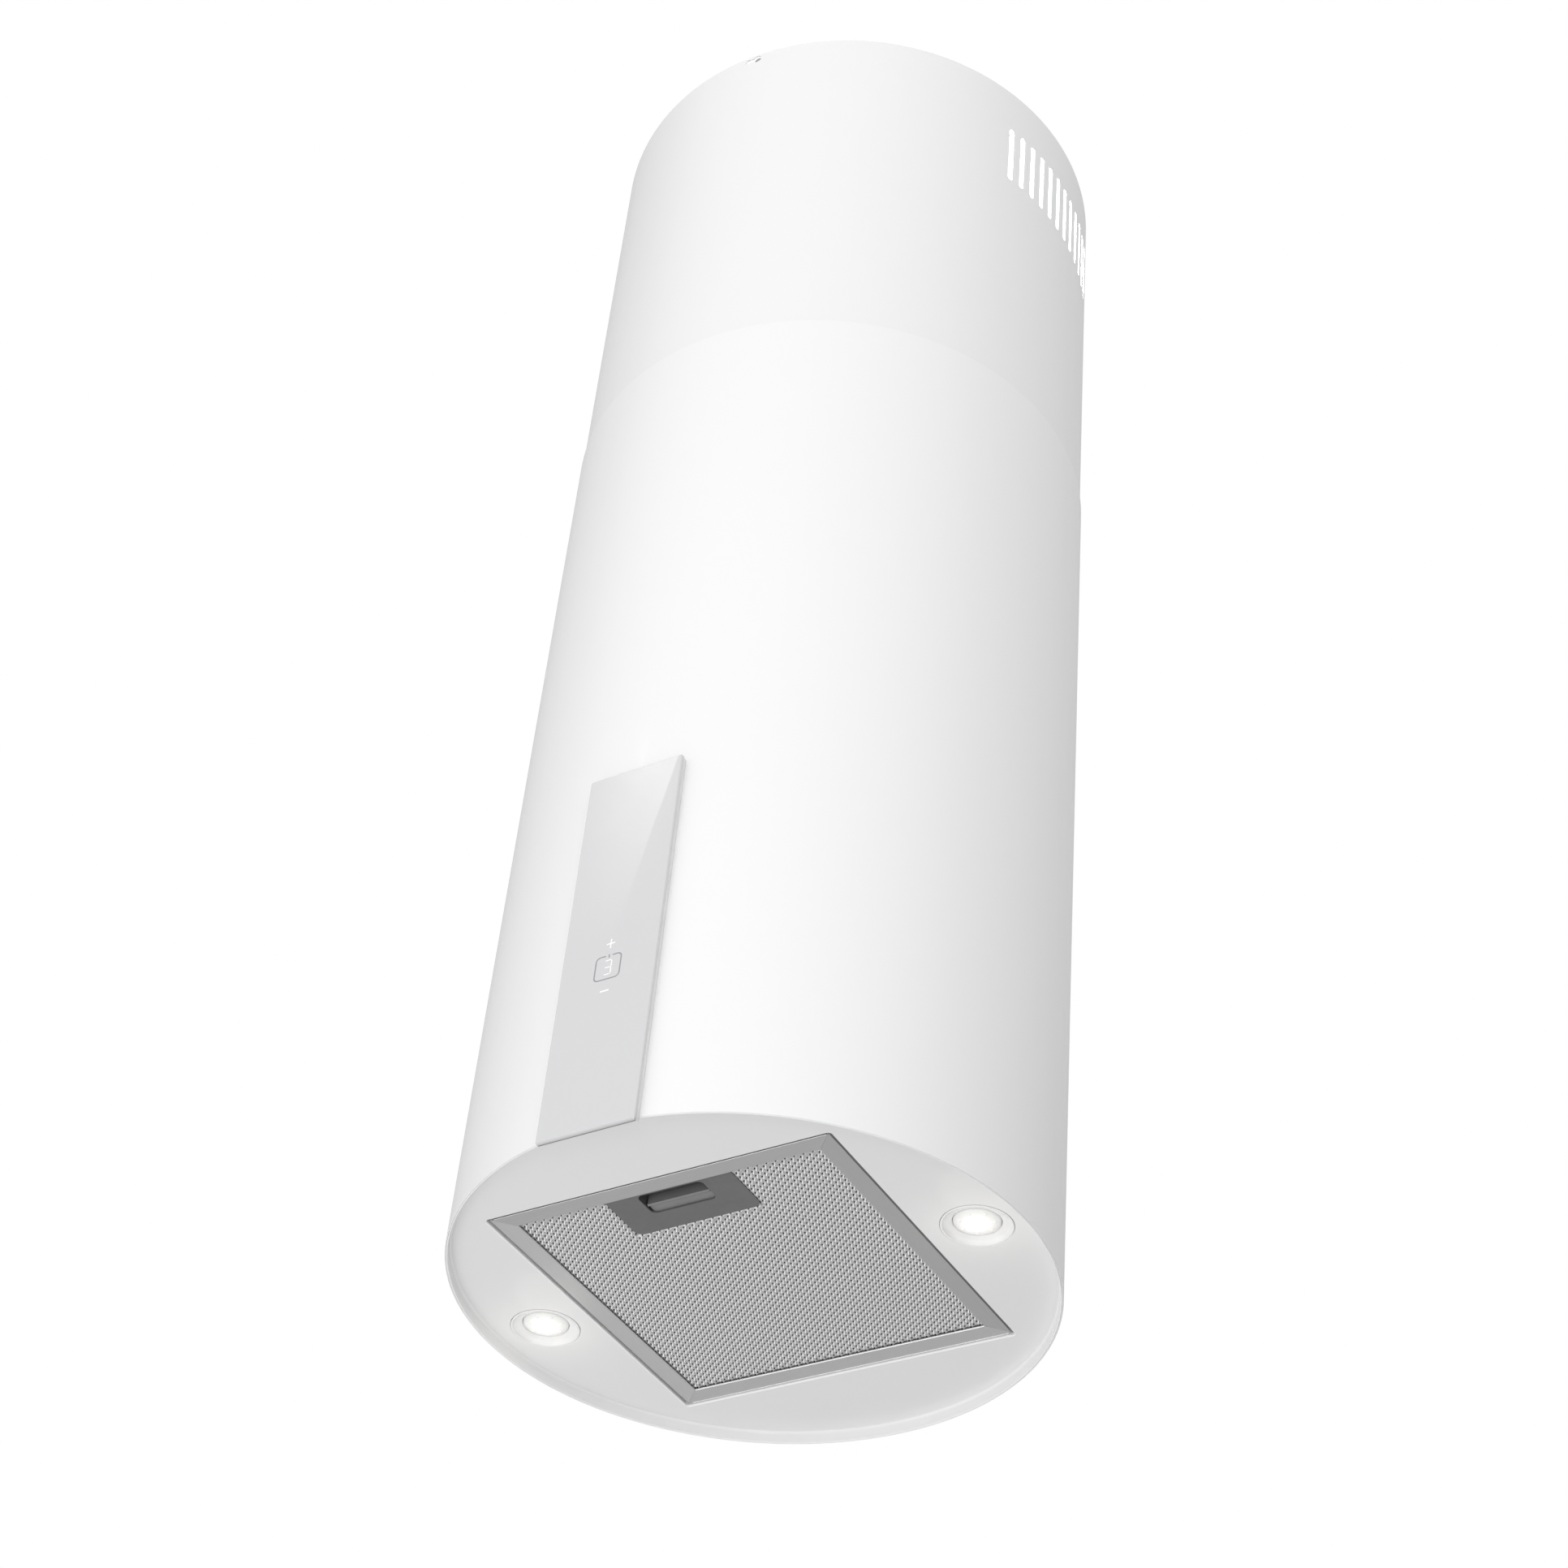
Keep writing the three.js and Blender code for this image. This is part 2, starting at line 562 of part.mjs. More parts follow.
// A ring on the side of the scroll, with three arms to a hub that carries the motor.
function motorBracket() {
  const face = -HOUSING_HALF - FIT;
  const back = face - 2;
  const parts = [
    tubeAlongX(INLET_R + 10, INLET_R + 1, back, face, 24, BLOWER_Y, BLOWER_Z),
    rodAlongX(BRACKET_HUB_R, back, face, 16, BLOWER_Y, BLOWER_Z),
  ];
  for (let i = 0; i < BRACKET_ARMS; i += 1) {
    const arm = new THREE.BoxGeometry(face - back, ARM_WIDTH, INLET_R - BRACKET_HUB_R + 10);
    arm.translate((face + back) / 2, 0, (INLET_R + BRACKET_HUB_R) / 2);
    arm.rotateX((2 * Math.PI * i) / BRACKET_ARMS);
    arm.translate(0, BLOWER_Y, BLOWER_Z);
    parts.push(toSolid(arm));
  }
  return join(...parts);
}

add('blower_housing_left', housingHalf(-1), BLACK_PLASTIC);
add('blower_housing_right', housingHalf(1), BLACK_PLASTIC);
add('impeller', impeller(), GREY_PLASTIC);
add('motor_shaft', rodAlongX(SHAFT_R, ...SHAFT_X, 10, BLOWER_Y, BLOWER_Z), STEEL);
add('motor', motorBody(), MOTOR_GREY);
add('motor_bracket', motorBracket(), GALVANISED);

// ---------------------------------------------------------------- outlet collar and backflow flaps

const COLLAR_INNER_R = DUCT_R - 2;
const COLLAR_BASE = BOX_TOP + FIT;
const COLLAR_HEIGHT = 86;
const SEAT_Z = 320;
const PIN_Z = 324;
const PIN_R = 1.5;
const KNUCKLE_R = 3.2;
const FLAP_R = 56.5;
const FLAP_SHEET = 1.2;
const KNUCKLES_FRONT = [[-48, -28], [2, 22]];
const KNUCKLES_REAR = [[-22, -2], [28, 48]];

// A tube on a narrow foot, with a ledge inside that the flaps rest on.
function outletCollar() {
  const base = COLLAR_BASE;
  const ledgeR = COLLAR_INNER_R - 3;
  return turned([
    [COLLAR_INNER_R, base], [DUCT_R + 2, base], [DUCT_R + 2, base + 2], [DUCT_R, base + 2],
    [DUCT_R, base + COLLAR_HEIGHT], [COLLAR_INNER_R, base + COLLAR_HEIGHT],
    [COLLAR_INNER_R, SEAT_Z], [ledgeR, SEAT_Z], [ledgeR, SEAT_Z - 2], [COLLAR_INNER_R, SEAT_Z - 2],
    [COLLAR_INNER_R, base],
  ], 32, 0, DUCT_Y);
}

// A half-round flap on one side of the pin, with its own knuckles around the pin.
function flap(side, knuckles) {
  const bottom = SEAT_Z + FIT;
  const near = DUCT_Y + side * (KNUCKLE_R + 0.4);
  const far = DUCT_Y + side * (FLAP_R + PAST);
  const half = rod(FLAP_R, bottom, bottom + FLAP_SHEET, 32, 0, DUCT_Y)
    .intersect(box([-FLAP_R, FLAP_R], span(near, far), [bottom - PAST, bottom + PAST]));
  const barrels = knuckles.map(([x0, x1]) => join(
    rodAlongX(KNUCKLE_R, x0, x1, 8, DUCT_Y, PIN_Z),
    box([x0, x1], span(DUCT_Y, near + side), [bottom, bottom + FLAP_SHEET])));
  return cut(join(half, ...barrels), rodAlongX(PIN_R + FIT, -DUCT_R, DUCT_R, 8, DUCT_Y, PIN_Z));
}

add('outlet_collar', outletCollar(), BLACK_PLASTIC);
add('flap_pin', rodAlongX(PIN_R, 1 - COLLAR_INNER_R, COLLAR_INNER_R - 1, 8, DUCT_Y, PIN_Z), STEEL);
add('flap_front', flap(-1, KNUCKLES_FRONT), BLACK_PLASTIC);
add('flap_rear', flap(1, KNUCKLES_REAR), BLACK_PLASTIC);

// ---------------------------------------------------------------- control panel

const ALONG_PANEL = [GLASS_BOTTOM - PAST, GLASS_TOP + PAST];

// The glass has ground edges on its front side only, so the rear half of the bevelled slab is cut off.
function controlGlass() {
  const half = GLASS_WIDTH / 2;
  const bevel = 0.8;
  const cornerR = 0.8;
  const shape = roundedRect(-half + bevel, half - bevel, GLASS_BOTTOM + bevel, GLASS_TOP - bevel, cornerR);
  const geometry = new THREE.ExtrudeGeometry(shape, {
    depth: GLASS_THICKNESS - bevel,
    bevelSize: bevel,
    bevelThickness: bevel,
    bevelSegments: 1,
    curveSegments: 2,
  });
  geometry.rotateX(Math.PI / 2);
  geometry.translate(0, GLASS_BACK_Y, 0);
  const back = [GLASS_BACK_Y, GLASS_BACK_Y + PAST];
  return cut(toSolid(geometry), box([-GLASS_WIDTH, GLASS_WIDTH], back, ALONG_PANEL));
}

// The carrier has a tray that passes through the sleeve, and a wedge rail down each side that fills
// the space between the flat glass and the round sleeve.
const CARRIER_WALL = 1.5;
const CARRIER_INSET = 0.6;         // the glass stands this far over the carrier all round
const RAIL_X = 18;
const TRAY_BACK_Y = -186;
const ICON_HALF_X = 9;
const ICON_Z = [94, 146];

function panelCarrier() {
  const front = GLASS_BACK_Y + FIT;
  const half = GLASS_WIDTH / 2 - CARRIER_INSET;
  const throughY = [front - PAST, TRAY_BACK_Y + PAST];
  const rails = cut(
    box([-half, half], [front, TRAY_BACK_Y + 1], [GLASS_BOTTOM + CARRIER_INSET, GLASS_TOP - CARRIER_INSET]),
    rod(HOOD_RADIUS + SLIDE_GAP, ...ALONG_PANEL, ROUND),
    box([-RAIL_X, RAIL_X], throughY, ALONG_PANEL));
  const trayX = TRAY_HALF - CARRIER_WALL;
  const trayZ = [TRAY_BOTTOM + CARRIER_WALL, TRAY_TOP - CARRIER_WALL];
  const tray = cut(
    box([-TRAY_HALF, TRAY_HALF], [front, TRAY_BACK_Y], [TRAY_BOTTOM, TRAY_TOP]),
    box([-trayX, trayX], [front + CARRIER_WALL, throughY[1]], trayZ));
  return cut(join(rails, tray), box([-ICON_HALF_X, ICON_HALF_X], throughY, ICON_Z));
}

const BOARD_X = 20;
const BOARD_Y = [-193.2, -191.6];
const BOARD_Z = [60, 200];
const DISPLAY_X = 6.5;
const DISPLAY_FRONT_Y = -194.9;
const DISPLAY_Z = [110.5, 128.5];

add('control_glass', controlGlass(), WHITE_GLASS);
add('panel_carrier', panelCarrier(), WHITE_PLASTIC);
add('touch_board', box([-BOARD_X, BOARD_X], BOARD_Y, BOARD_Z), BOARD_GREEN);
add('digit_display',
  box([-DISPLAY_X, DISPLAY_X], [DISPLAY_FRONT_Y, BOARD_Y[0] - FIT], DISPLAY_Z), BLACK_PLASTIC);

// ---------------------------------------------------------------- electrics inside

const SIDE_FACE = BOX_HALF + 1.5;
const ELECTRONICS_X = 55;
const ELECTRONICS_Y = -168;
const ELECTRONICS_Z = [60, 200];
const ELECTRONICS_WALL = 2;
const CAPACITOR_AT = [45, 150];
const CAPACITOR_Z = [60, 140];
const DRIVER_X = -166;
const DRIVER_HALF_Y = 32;
const DRIVER_Z = [75, 105];
const TERMINALS_X = [-60, -20];
const TERMINALS_Y = 150;
const TERMINALS_Z = [240, 262];
const TERMINAL_PITCH = 13;
const TERMINAL_BORE = 10;

// A tray that is open to the front, where its lid closes it.
function electronicsBox() {
  const inner = ELECTRONICS_X - ELECTRONICS_WALL;
  const innerZ = [ELECTRONICS_Z[0] + ELECTRONICS_WALL, ELECTRONICS_Z[1] - ELECTRONICS_WALL];
  return cut(
    box([-ELECTRONICS_X, ELECTRONICS_X], [ELECTRONICS_Y, -SIDE_FACE], ELECTRONICS_Z),
    box([-inner, inner], [ELECTRONICS_Y - PAST, -SIDE_FACE - ELECTRONICS_WALL], innerZ));
}

function electronicsLid() {
  const back = ELECTRONICS_Y - FIT;
  return box([-ELECTRONICS_X, ELECTRONICS_X], [back - ELECTRONICS_WALL, back], ELECTRONICS_Z);
}

function capacitor() {
  const [z0, z1] = CAPACITOR_Z;
  return join(rod(17, z0, z1, 24, ...CAPACITOR_AT), rod(5, z1 - 1, z1 + 6, 12, ...CAPACITOR_AT));
}

// A block with three round wire entries in its rear face.
function terminalBlock() {
  const block = box(TERMINALS_X, [SIDE_FACE, TERMINALS_Y], TERMINALS_Z);
  const middleX = (TERMINALS_X[0] + TERMINALS_X[1]) / 2;
  const middleZ = (TERMINALS_Z[0] + TERMINALS_Z[1]) / 2;
  const boreY = [TERMINALS_Y - TERMINAL_BORE, TERMINALS_Y + PAST];
  const ways = [-1, 0, 1].map((i) => rodAlongY(3, ...boreY, 10, middleX + i * TERMINAL_PITCH, middleZ));
  return cut(block, ...ways);
}

// A hexagonal foot and a domed nut, bored for the supply cable.
function cableGland() {
  const base = BOX_TOP + FIT;
  const at = [GLAND_X, GLAND_Y];
  const nut = [[0, base + 4], [8, base + 4], [8, base + 12], [6.5, base + 18], [0, base + 18]];
  return cut(
    join(rod(11, base, base + 5, 6, ...at), turned(nut, 16, ...at)),
    rod(GLAND_BORE_R, base - PAST, base + 18 + PAST, 12, ...at));
}

add('electronics_box', electronicsBox(), BLACK_PLASTIC);
add('electronics_lid', electronicsLid(), BLACK_PLASTIC);
add('motor_capacitor', capacitor(), WHITE_PLASTIC);
add('lamp_driver', box([DRIVER_X, -SIDE_FACE], [-DRIVER_HALF_Y, DRIVER_HALF_Y], DRIVER_Z), WHITE_PLASTIC);
add('terminal_block', terminalBlock(), WHITE_PLASTIC);
add('cable_gland', cableGland(), BLACK_PLASTIC);

// ---------------------------------------------------------------- lamps

const DISH_TOP = 17.5;             // inside of the dish, above the rim plane
const DISH_BASE_R = 9;
const REST_R = 28;                 // flange of the dish, on the bottom plate
const LENS_TOP = 19.2;
const HEAT_SINK_R = 24;

// A dish whose mouth is flush with the bottom plate and whose rim rests on it from inside.
function lampReflector(x) {
  const mouth = RIM_DEPTH - 0.2;
  const rest = RIM_DEPTH + PLATE + FIT;
  return turned([
    [DISH_BASE_R, DISH_TOP], [16, 15.6], [21, 12.6], [LAMP_MOUTH_R, mouth],
    [LAMP_HOLE_R - FIT, mouth], [LAMP_HOLE_R - FIT, rest], [REST_R, rest], [REST_R, rest + 1.2],
    [24, rest + 1.4], [17, 18], [DISH_BASE_R, LENS_TOP], [DISH_BASE_R, DISH_TOP],
  ], LAMP_ROUND, x);
}

function lampLens(x) {
  const r = DISH_BASE_R - FIT;
  return turned([[0, 15.8], [0.6 * r, 16.2], [r, 17.6], [r, LENS_TOP], [0, LENS_TOP]], 16, x);
}

function lampHousing(x) {
  const base = LENS_TOP + 0.4;
  return turned([
    [0, base], [16, base], [HEAT_SINK_R, 22], [HEAT_SINK_R, 38], [12, 44], [0, 44],
  ], 20, x);
}

for (const [side, sign] of [['left', -1], ['right', 1]]) {
  add(`lamp_reflector_${side}`, lampReflector(sign * LAMP_X), LAMP_WHITE);
  add(`lamp_lens_${side}`, lampLens(sign * LAMP_X), LAMP_WHITE);
  add(`lamp_housing_${side}`, lampHousing(sign * LAMP_X), SATIN_ALUMINIUM);
}

// ---------------------------------------------------------------- grease filter

const MESH_HALF = FILTER_HALF - FILTER_SKIN - 0.75;
const MESH_OPEN_HALF = FILTER_HALF - FILTER_STRIP;
const POCKET_X = 23.2;
const POCKET_Y = [-105.5, -85];
const POCKET_WALL = 1.2;
const POCKET_ROOF = [23.8, 25];
const HANDLE_X = 45;
const HANDLE_Y = [-MESH_OPEN_HALF + FIT, -67.3];
const HANDLE_Z = [11.5, 12.7];
const SPRING_SEAT_Y = -71.7;
const MESH_NOTCH_Y = -78;          // back of the notch in the mesh, around the latch housing
const MESH_SHEETS = [['lower', 13, 14.2], ['core', 14.5, 17.2], ['upper', 17.5, 18.5]];

// Four mitred strips of channel section around the mesh.
function filterFrame() {
  const channel = squareRing(FILTER_HALF, MESH_OPEN_HALF, FILTER_BOTTOM, FILTER_TOP);
  const groove = FILTER_HALF - FILTER_SKIN;
  const grooveZ = [FILTER_BOTTOM + FILTER_SKIN, FILTER_TOP - FILTER_SKIN];
  return cut(channel, box([-groove, groove], [-groove, groove], grooveZ));
}

// A sheet of mesh, with a notch at the front edge for the latch housing.
function meshSheet(z0, z1) {
  const notch = POCKET_X + POCKET_WALL + 1.5;
  return cut(
    box([-MESH_HALF, MESH_HALF], [-MESH_HALF, MESH_HALF], [z0, z1]),
    box([-notch, notch], [-MESH_HALF - PAST, MESH_NOTCH_Y], [z0 - PAST, z1 + PAST]));
}

// The grey plate with its finger pocket. The pocket is open at the back, where the latch bar slides.
function filterHandle() {
  const outerX = POCKET_X + POCKET_WALL;
  const [pocketFront, pocketBack] = POCKET_Y;
  const wallFront = pocketFront - POCKET_WALL;
  const wallBottom = HANDLE_Z[0] + 0.4;
  const seatEnd = SPRING_SEAT_Y + POCKET_WALL;
  const rearCorner = 6;
  const pocketCorner = 4;
  const cutZ = [HANDLE_Z[0] - PAST, HANDLE_Z[1] + PAST];
  const plateShape = roundedRect(-HANDLE_X, HANDLE_X, HANDLE_Y[0] - rearCorner, HANDLE_Y[1], rearCorner);
  const pocketShape = roundedRect(-POCKET_X, POCKET_X, pocketFront, pocketBack, pocketCorner);
  const plate = cut(
    slabAlongZ(plateShape, ...HANDLE_Z),
    box([-HANDLE_X, HANDLE_X], [HANDLE_Y[0] - 2 * PAST, HANDLE_Y[0]], cutZ),
    slabAlongZ(pocketShape, ...cutZ));
  const sideWalls = [-1, 1].map((side) => box(
    span(side * POCKET_X, side * outerX), [wallFront, pocketBack], [wallBottom, POCKET_ROOF[1]]));
  const frontWall = box([-outerX, outerX], [wallFront, pocketFront], [wallBottom, FILTER_TOP + 0.2]);
  const roof = box([-outerX, outerX], [wallFront, seatEnd], POCKET_ROOF);
  const seat = box([-outerX, outerX], [SPRING_SEAT_Y, seatEnd], [MESH_SHEETS[2][2] + 0.7, POCKET_ROOF[1]]);
  return join(plate, ...sideWalls, frontWall, roof, seat);
}

const LATCH_X = POCKET_X - 0.4;
const LATCH_BAR_Y = [-94, -85.3];
const LATCH_BAR_Z = [13, 17];
const LATCH_RIDGE_Z = 12;
const LATCH_POST_BACK_Y = -88;
const LATCH_ARM = 3;
const TONGUE_Z = [20.5, 22.3];
const TONGUE_Y = [-122.5, -106];

// The bar that a finger pulls back, two posts, and the tongue that runs out over the frame.
function filterLatch() {
  const [barFront] = LATCH_BAR_Y;
  const sideX = (side) => span(side * (LATCH_X - LATCH_ARM), side * LATCH_X);
  const postZ = [LATCH_BAR_Z[0], POCKET_ROOF[0] - 2 * FIT];
  const posts = [-1, 1].map((side) => box(sideX(side), [barFront, LATCH_POST_BACK_Y], postZ));
  const arms = [-1, 1].map((side) => box(sideX(side), [TONGUE_Y[1] - 1, barFront + 4], TONGUE_Z));
  const ridgeZ = [LATCH_RIDGE_Z, LATCH_BAR_Z[0] + 1];
  return join(
    box([-LATCH_X, LATCH_X], LATCH_BAR_Y, LATCH_BAR_Z),
    box([-LATCH_X, LATCH_X], [barFront, barFront + 1.5], ridgeZ),
    box([-LATCH_X, LATCH_X], TONGUE_Y, TONGUE_Z),
    ...posts, ...arms);
}

const SPRING_TURNS = 5;
const SPRING_SIDES = 4;
const SPRING_R = 1.1;
const SPRING_WIRE_R = 0.3;
const SPRING_CENTRE_Z = 21.6;
const SPRING_GAP = 0.6;
const SPRING_Y = [LATCH_POST_BACK_Y + SPRING_GAP, SPRING_SEAT_Y - SPRING_GAP];

// A compression spring along Y, between a latch post and the seat behind it.
class SpringPath extends THREE.Curve {
  constructor(x) {
    super();
    this.x = x;
  }

  getPoint(t) {
    const angle = 2 * Math.PI * SPRING_TURNS * t;
    return new THREE.Vector3(
      this.x + SPRING_R * Math.cos(angle),
      SPRING_Y[0] + (SPRING_Y[1] - SPRING_Y[0]) * t,
      SPRING_CENTRE_Z + SPRING_R * Math.sin(angle));
  }
}

function latchSpring(x) {
  const wire = new THREE.Shape();
  for (let i = 0; i < SPRING_SIDES; i += 1) {
    const angle = (2 * Math.PI * i) / SPRING_SIDES;
    const point = [SPRING_WIRE_R * Math.cos(angle), SPRING_WIRE_R * Math.sin(angle)];
    if (i === 0) wire.moveTo(...point);
    else wire.lineTo(...point);
  }
  const options = { steps: SPRING_TURNS * 8, extrudePath: new SpringPath(x), bevelEnabled: false };
  return outward(new THREE.ExtrudeGeometry(wire, options));
}

const HOOK_X = 80;
const HOOK_HALF = 10;
const HOOK_Y = [108, 125.5];
const HOOK_SHEET = 0.9;

// A flat spring hook at the back of the frame, which rests on the opening's upturned edge.
const hook = (x) =>
  box([x - HOOK_HALF, x + HOOK_HALF], HOOK_Y, [FILTER_TOP + FIT, FILTER_TOP + FIT + HOOK_SHEET]);

add('filter_frame', filterFrame(), SATIN_ALUMINIUM);
for (const [layer, z0, z1] of MESH_SHEETS) {
  add(`filter_mesh_${layer}`, meshSheet(z0, z1), MESH_ALUMINIUM);
}
add('filter_handle', filterHandle(), GREY_PLASTIC);
add('filter_latch', filterLatch(), GREY_PLASTIC);
for (const [side, sign] of [['left', -1], ['right', 1]]) {
  add(`latch_spring_${side}`, latchSpring(sign * (LATCH_X - LATCH_ARM / 2)), STEEL);
  add(`filter_hook_${side}`, hook(sign * HOOK_X), STEEL);
}

export default hood;
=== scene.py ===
"""Looks of the cylindrical island range hood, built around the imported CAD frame.

Lengths on the hood are in millimetres, and its heights are measured up from the plane of its bottom rim.
The studio around it, in the last section, is in metres, in the frame's own coordinates.
"""

import math

import bmesh
import bpy
from mathutils import Matrix, Vector
from mathutils.geometry import tessellate_polygon


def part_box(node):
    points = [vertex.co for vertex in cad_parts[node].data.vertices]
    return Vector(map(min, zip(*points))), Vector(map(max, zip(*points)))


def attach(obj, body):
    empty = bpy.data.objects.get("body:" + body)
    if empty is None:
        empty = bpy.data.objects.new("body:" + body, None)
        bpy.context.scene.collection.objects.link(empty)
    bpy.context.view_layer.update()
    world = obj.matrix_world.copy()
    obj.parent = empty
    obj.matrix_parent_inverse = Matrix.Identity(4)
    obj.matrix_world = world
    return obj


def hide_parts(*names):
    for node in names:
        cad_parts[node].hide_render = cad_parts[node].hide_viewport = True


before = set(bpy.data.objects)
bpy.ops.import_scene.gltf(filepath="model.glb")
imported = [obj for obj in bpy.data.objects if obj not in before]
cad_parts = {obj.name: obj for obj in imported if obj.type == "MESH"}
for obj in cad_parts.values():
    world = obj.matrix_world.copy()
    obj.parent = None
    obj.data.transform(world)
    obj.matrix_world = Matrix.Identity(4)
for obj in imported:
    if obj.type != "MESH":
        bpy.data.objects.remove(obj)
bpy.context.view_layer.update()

MM = 0.001
RIM_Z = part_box("lower_sleeve")[0].z
HEIGHT = (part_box("upper_sleeve")[1].z - RIM_Z) / MM

ROUND_STEPS = 288
EDGE_ANGLE = 32.0  # degrees; edges sharper than this stay crisp
WELD = 1e-6  # metres
COARSE_WELD = 1e-5
FINE_WELD = 1e-7

# -------- dimensions

HOOD_R = 195.0
LOWER_SLEEVE = 702.0
UPPER_SLEEVE = 400.0
SHEET = 0.8
UPPER_R = 193.85
ROLL = 0.36  # rounding of a sheet's cut edge

VENTS = 12
VENT_PITCH = 3.66  # degrees
VENT_HALF = 2.5
VENT_SPAN = (HEIGHT - 109.0, HEIGHT - 46.6)

KEYHOLE_H = HEIGHT - 5.4
KEYHOLE_X = 14.0
KEYHOLE_R = 3.8
KEYHOLE_SLOT = 8.5
KEYHOLE_SLOT_HALF = 2.2

RIM_DEPTH = 8.5
PLATE = 1.0
PLATE_R = 194.12
PLATE_BEND = 2.5
OPENING_HALF = 123.0
OPENING_TOP = 19.9
OPENING_BEND = 0.9
OPENING_CORNER = 2.5
LAMP_X = 157.7
LAMPS = (("left", -LAMP_X), ("right", LAMP_X))
LAMP_HOLE_R = 23.0
LAMP_BEND = 0.7
LENS_H = 9.4  # lowest point of a lamp's domed lens
HEM_R = 0.9  # rolled edge along the rear and left of the filter opening
HEM_HALF = 120.5

GLASS_HALF = 34.75
GLASS_SPAN = (-5.0, 279.0)
GLASS_FRONT = -198.3
GLASS_BACK = -195.3
GLASS_BEVEL = 0.8
WINDOW_HALF = 24.0
WINDOW_SPAN = (14.0, 268.0)

FILTER_HALF = 121.95
FILTER_STRIP = 14.0
FILTER_SPAN = (10.1, 20.0)

# -------- mesh helpers


def place(point):
    """A point in millimetres, with its height above the rim, as a point in the row frame."""
    return Vector((point[0] * MM, point[1] * MM, RIM_Z + point[2] * MM))


def merged_mesh(name, points, faces, weld=WELD):
    """A mesh from points in millimetres, with doubled points welded and faces turned outward."""
    mesh = bpy.data.meshes.new(name)
    mesh.from_pydata([place(p) for p in points], [], faces)
    work = bmesh.new()
    work.from_mesh(mesh)
    bmesh.ops.remove_doubles(work, verts=work.verts, dist=weld)
    bmesh.ops.dissolve_degenerate(work, edges=work.edges, dist=weld / 10)
    bmesh.ops.recalc_face_normals(work, faces=work.faces)
    work.to_mesh(mesh)
    work.free()
    return mesh


def link_object(name, data):
    """A new object in the scene."""
    obj = bpy.data.objects.new(name, data)
    bpy.context.scene.collection.objects.link(obj)
    return obj


def smooth(obj, angle=EDGE_ANGLE):
    """Smooth shading, with edges sharper than the angle kept crisp."""
    obj.data.shade_smooth()
    obj.data.set_sharp_from_angle(angle=math.radians(angle))


def soften(obj, width, segments):
    """Small rounded edges, as on every real part, with flat faces shaded flat."""
    bevel = obj.modifiers.new("edges", "BEVEL")
    bevel.width = width * MM
    bevel.segments = segments
    bevel.limit_method = "ANGLE"
    bevel.angle_limit = math.radians(EDGE_ANGLE)
    weighted = obj.modifiers.new("shading", "WEIGHTED_NORMAL")
    weighted.keep_sharp = True


def new_piece(name, shape, material, body, replaces=(), weld=WELD):
    """A piece from (points, faces) that rides on a body of the frame."""
    obj = link_object(name, merged_mesh(name, *shape, weld))
    obj.data.materials.append(material)
    smooth(obj)
    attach(obj, body)
    if replaces:
        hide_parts(*replaces)
    return obj


def join_parts(*parts):
    """Several (points, faces) pairs as one."""
    points, faces = [], []
    for part_points, part_faces in parts:
        base = len(points)
        points.extend(part_points)
        faces.extend([tuple(base + i for i in face) for face in part_faces])
    return points, faces


def quads(starts, count, closed=True):
    """Faces between neighbouring rows of points, which are given by the number of their first point."""
    sides = count if closed else count - 1
    return [(a + i, a + (i + 1) % count, b + (i + 1) % count, b + i)
            for a, b in zip(starts, starts[1:]) for i in range(sides)]


def loft(loops, cap_start=True, cap_end=True):
    """Closed loops of equal length, joined by quads, with flat faces at the ends."""
    count = len(loops[0])
    points = [p for loop in loops for p in loop]
    faces = quads(range(0, len(points), count), count)
    if cap_start:
        faces.append(tuple(reversed(range(count))))
    if cap_end:
        faces.append(tuple(range(len(points) - count, len(points))))
    return points, faces


def revolve(profile, steps, centre=(0.0, 0.0), closed=True):
    """A (radius, height) outline turned about an upright axis through centre."""
    points = []
    for k in range(steps):
        turn = 2 * math.pi * k / steps
        c, s = math.cos(turn), math.sin(turn)
        points += [(centre[0] + radius * c, centre[1] + radius * s, height) for radius, height in profile]
    count = len(profile)
    return points, quads([*range(0, len(points), count), 0], count, closed)


def circle(radius, height, steps, centre_x=0.0):
    """Points round a horizontal circle."""
    turns = [2 * math.pi * k / steps for k in range(steps)]
    return [(centre_x + radius * math.cos(t), radius * math.sin(t), height) for t in turns]


def arc(cx, cy, radius, start, end, steps):
    """Points on a circle from one angle to another, in degrees."""
    turns = [math.radians(start + (end - start) * k / steps) for k in range(steps + 1)]
    return [(cx + radius * math.cos(t), cy + radius * math.sin(t)) for t in turns]


def rod(cx, cy, radius):
    """The round outline of a rod or a bead, as 24 points."""
    return arc(cx, cy, radius, 0, 345, 23)


def rounded_rect(x0, x1, y0, y1, radius, steps=6):
    """Outline of a rectangle with round corners, anticlockwise, as (x, y) pairs."""
    corners = ((x1 - radius, y1 - radius), (x0 + radius, y1 - radius),
               (x0 + radius, y0 + radius), (x1 - radius, y0 + radius))
    outline = []
    for quarter, (cx, cy) in enumerate(corners):
        outline += arc(cx, cy, radius, 90 * quarter, 90 * (quarter + 1), steps)
    return outline


def at_height(outline, height):
    return [(x, y, height) for x, y in outline]


def flat_region(*loops):
    """A flat face between level loops. The first is its outline, and the others are holes in it."""
    triangles = tessellate_polygon([[Vector(p) for p in loop] for loop in loops])
    return [p for loop in loops for p in loop], [tuple(t) for t in triangles]


def block(x, y, z):
    """An axis-aligned box between two corners, given as three ranges."""
    corners = ((x[0], y[0]), (x[1], y[0]), (x[1], y[1]), (x[0], y[1]))
    return loft([at_height(corners, h) for h in z])


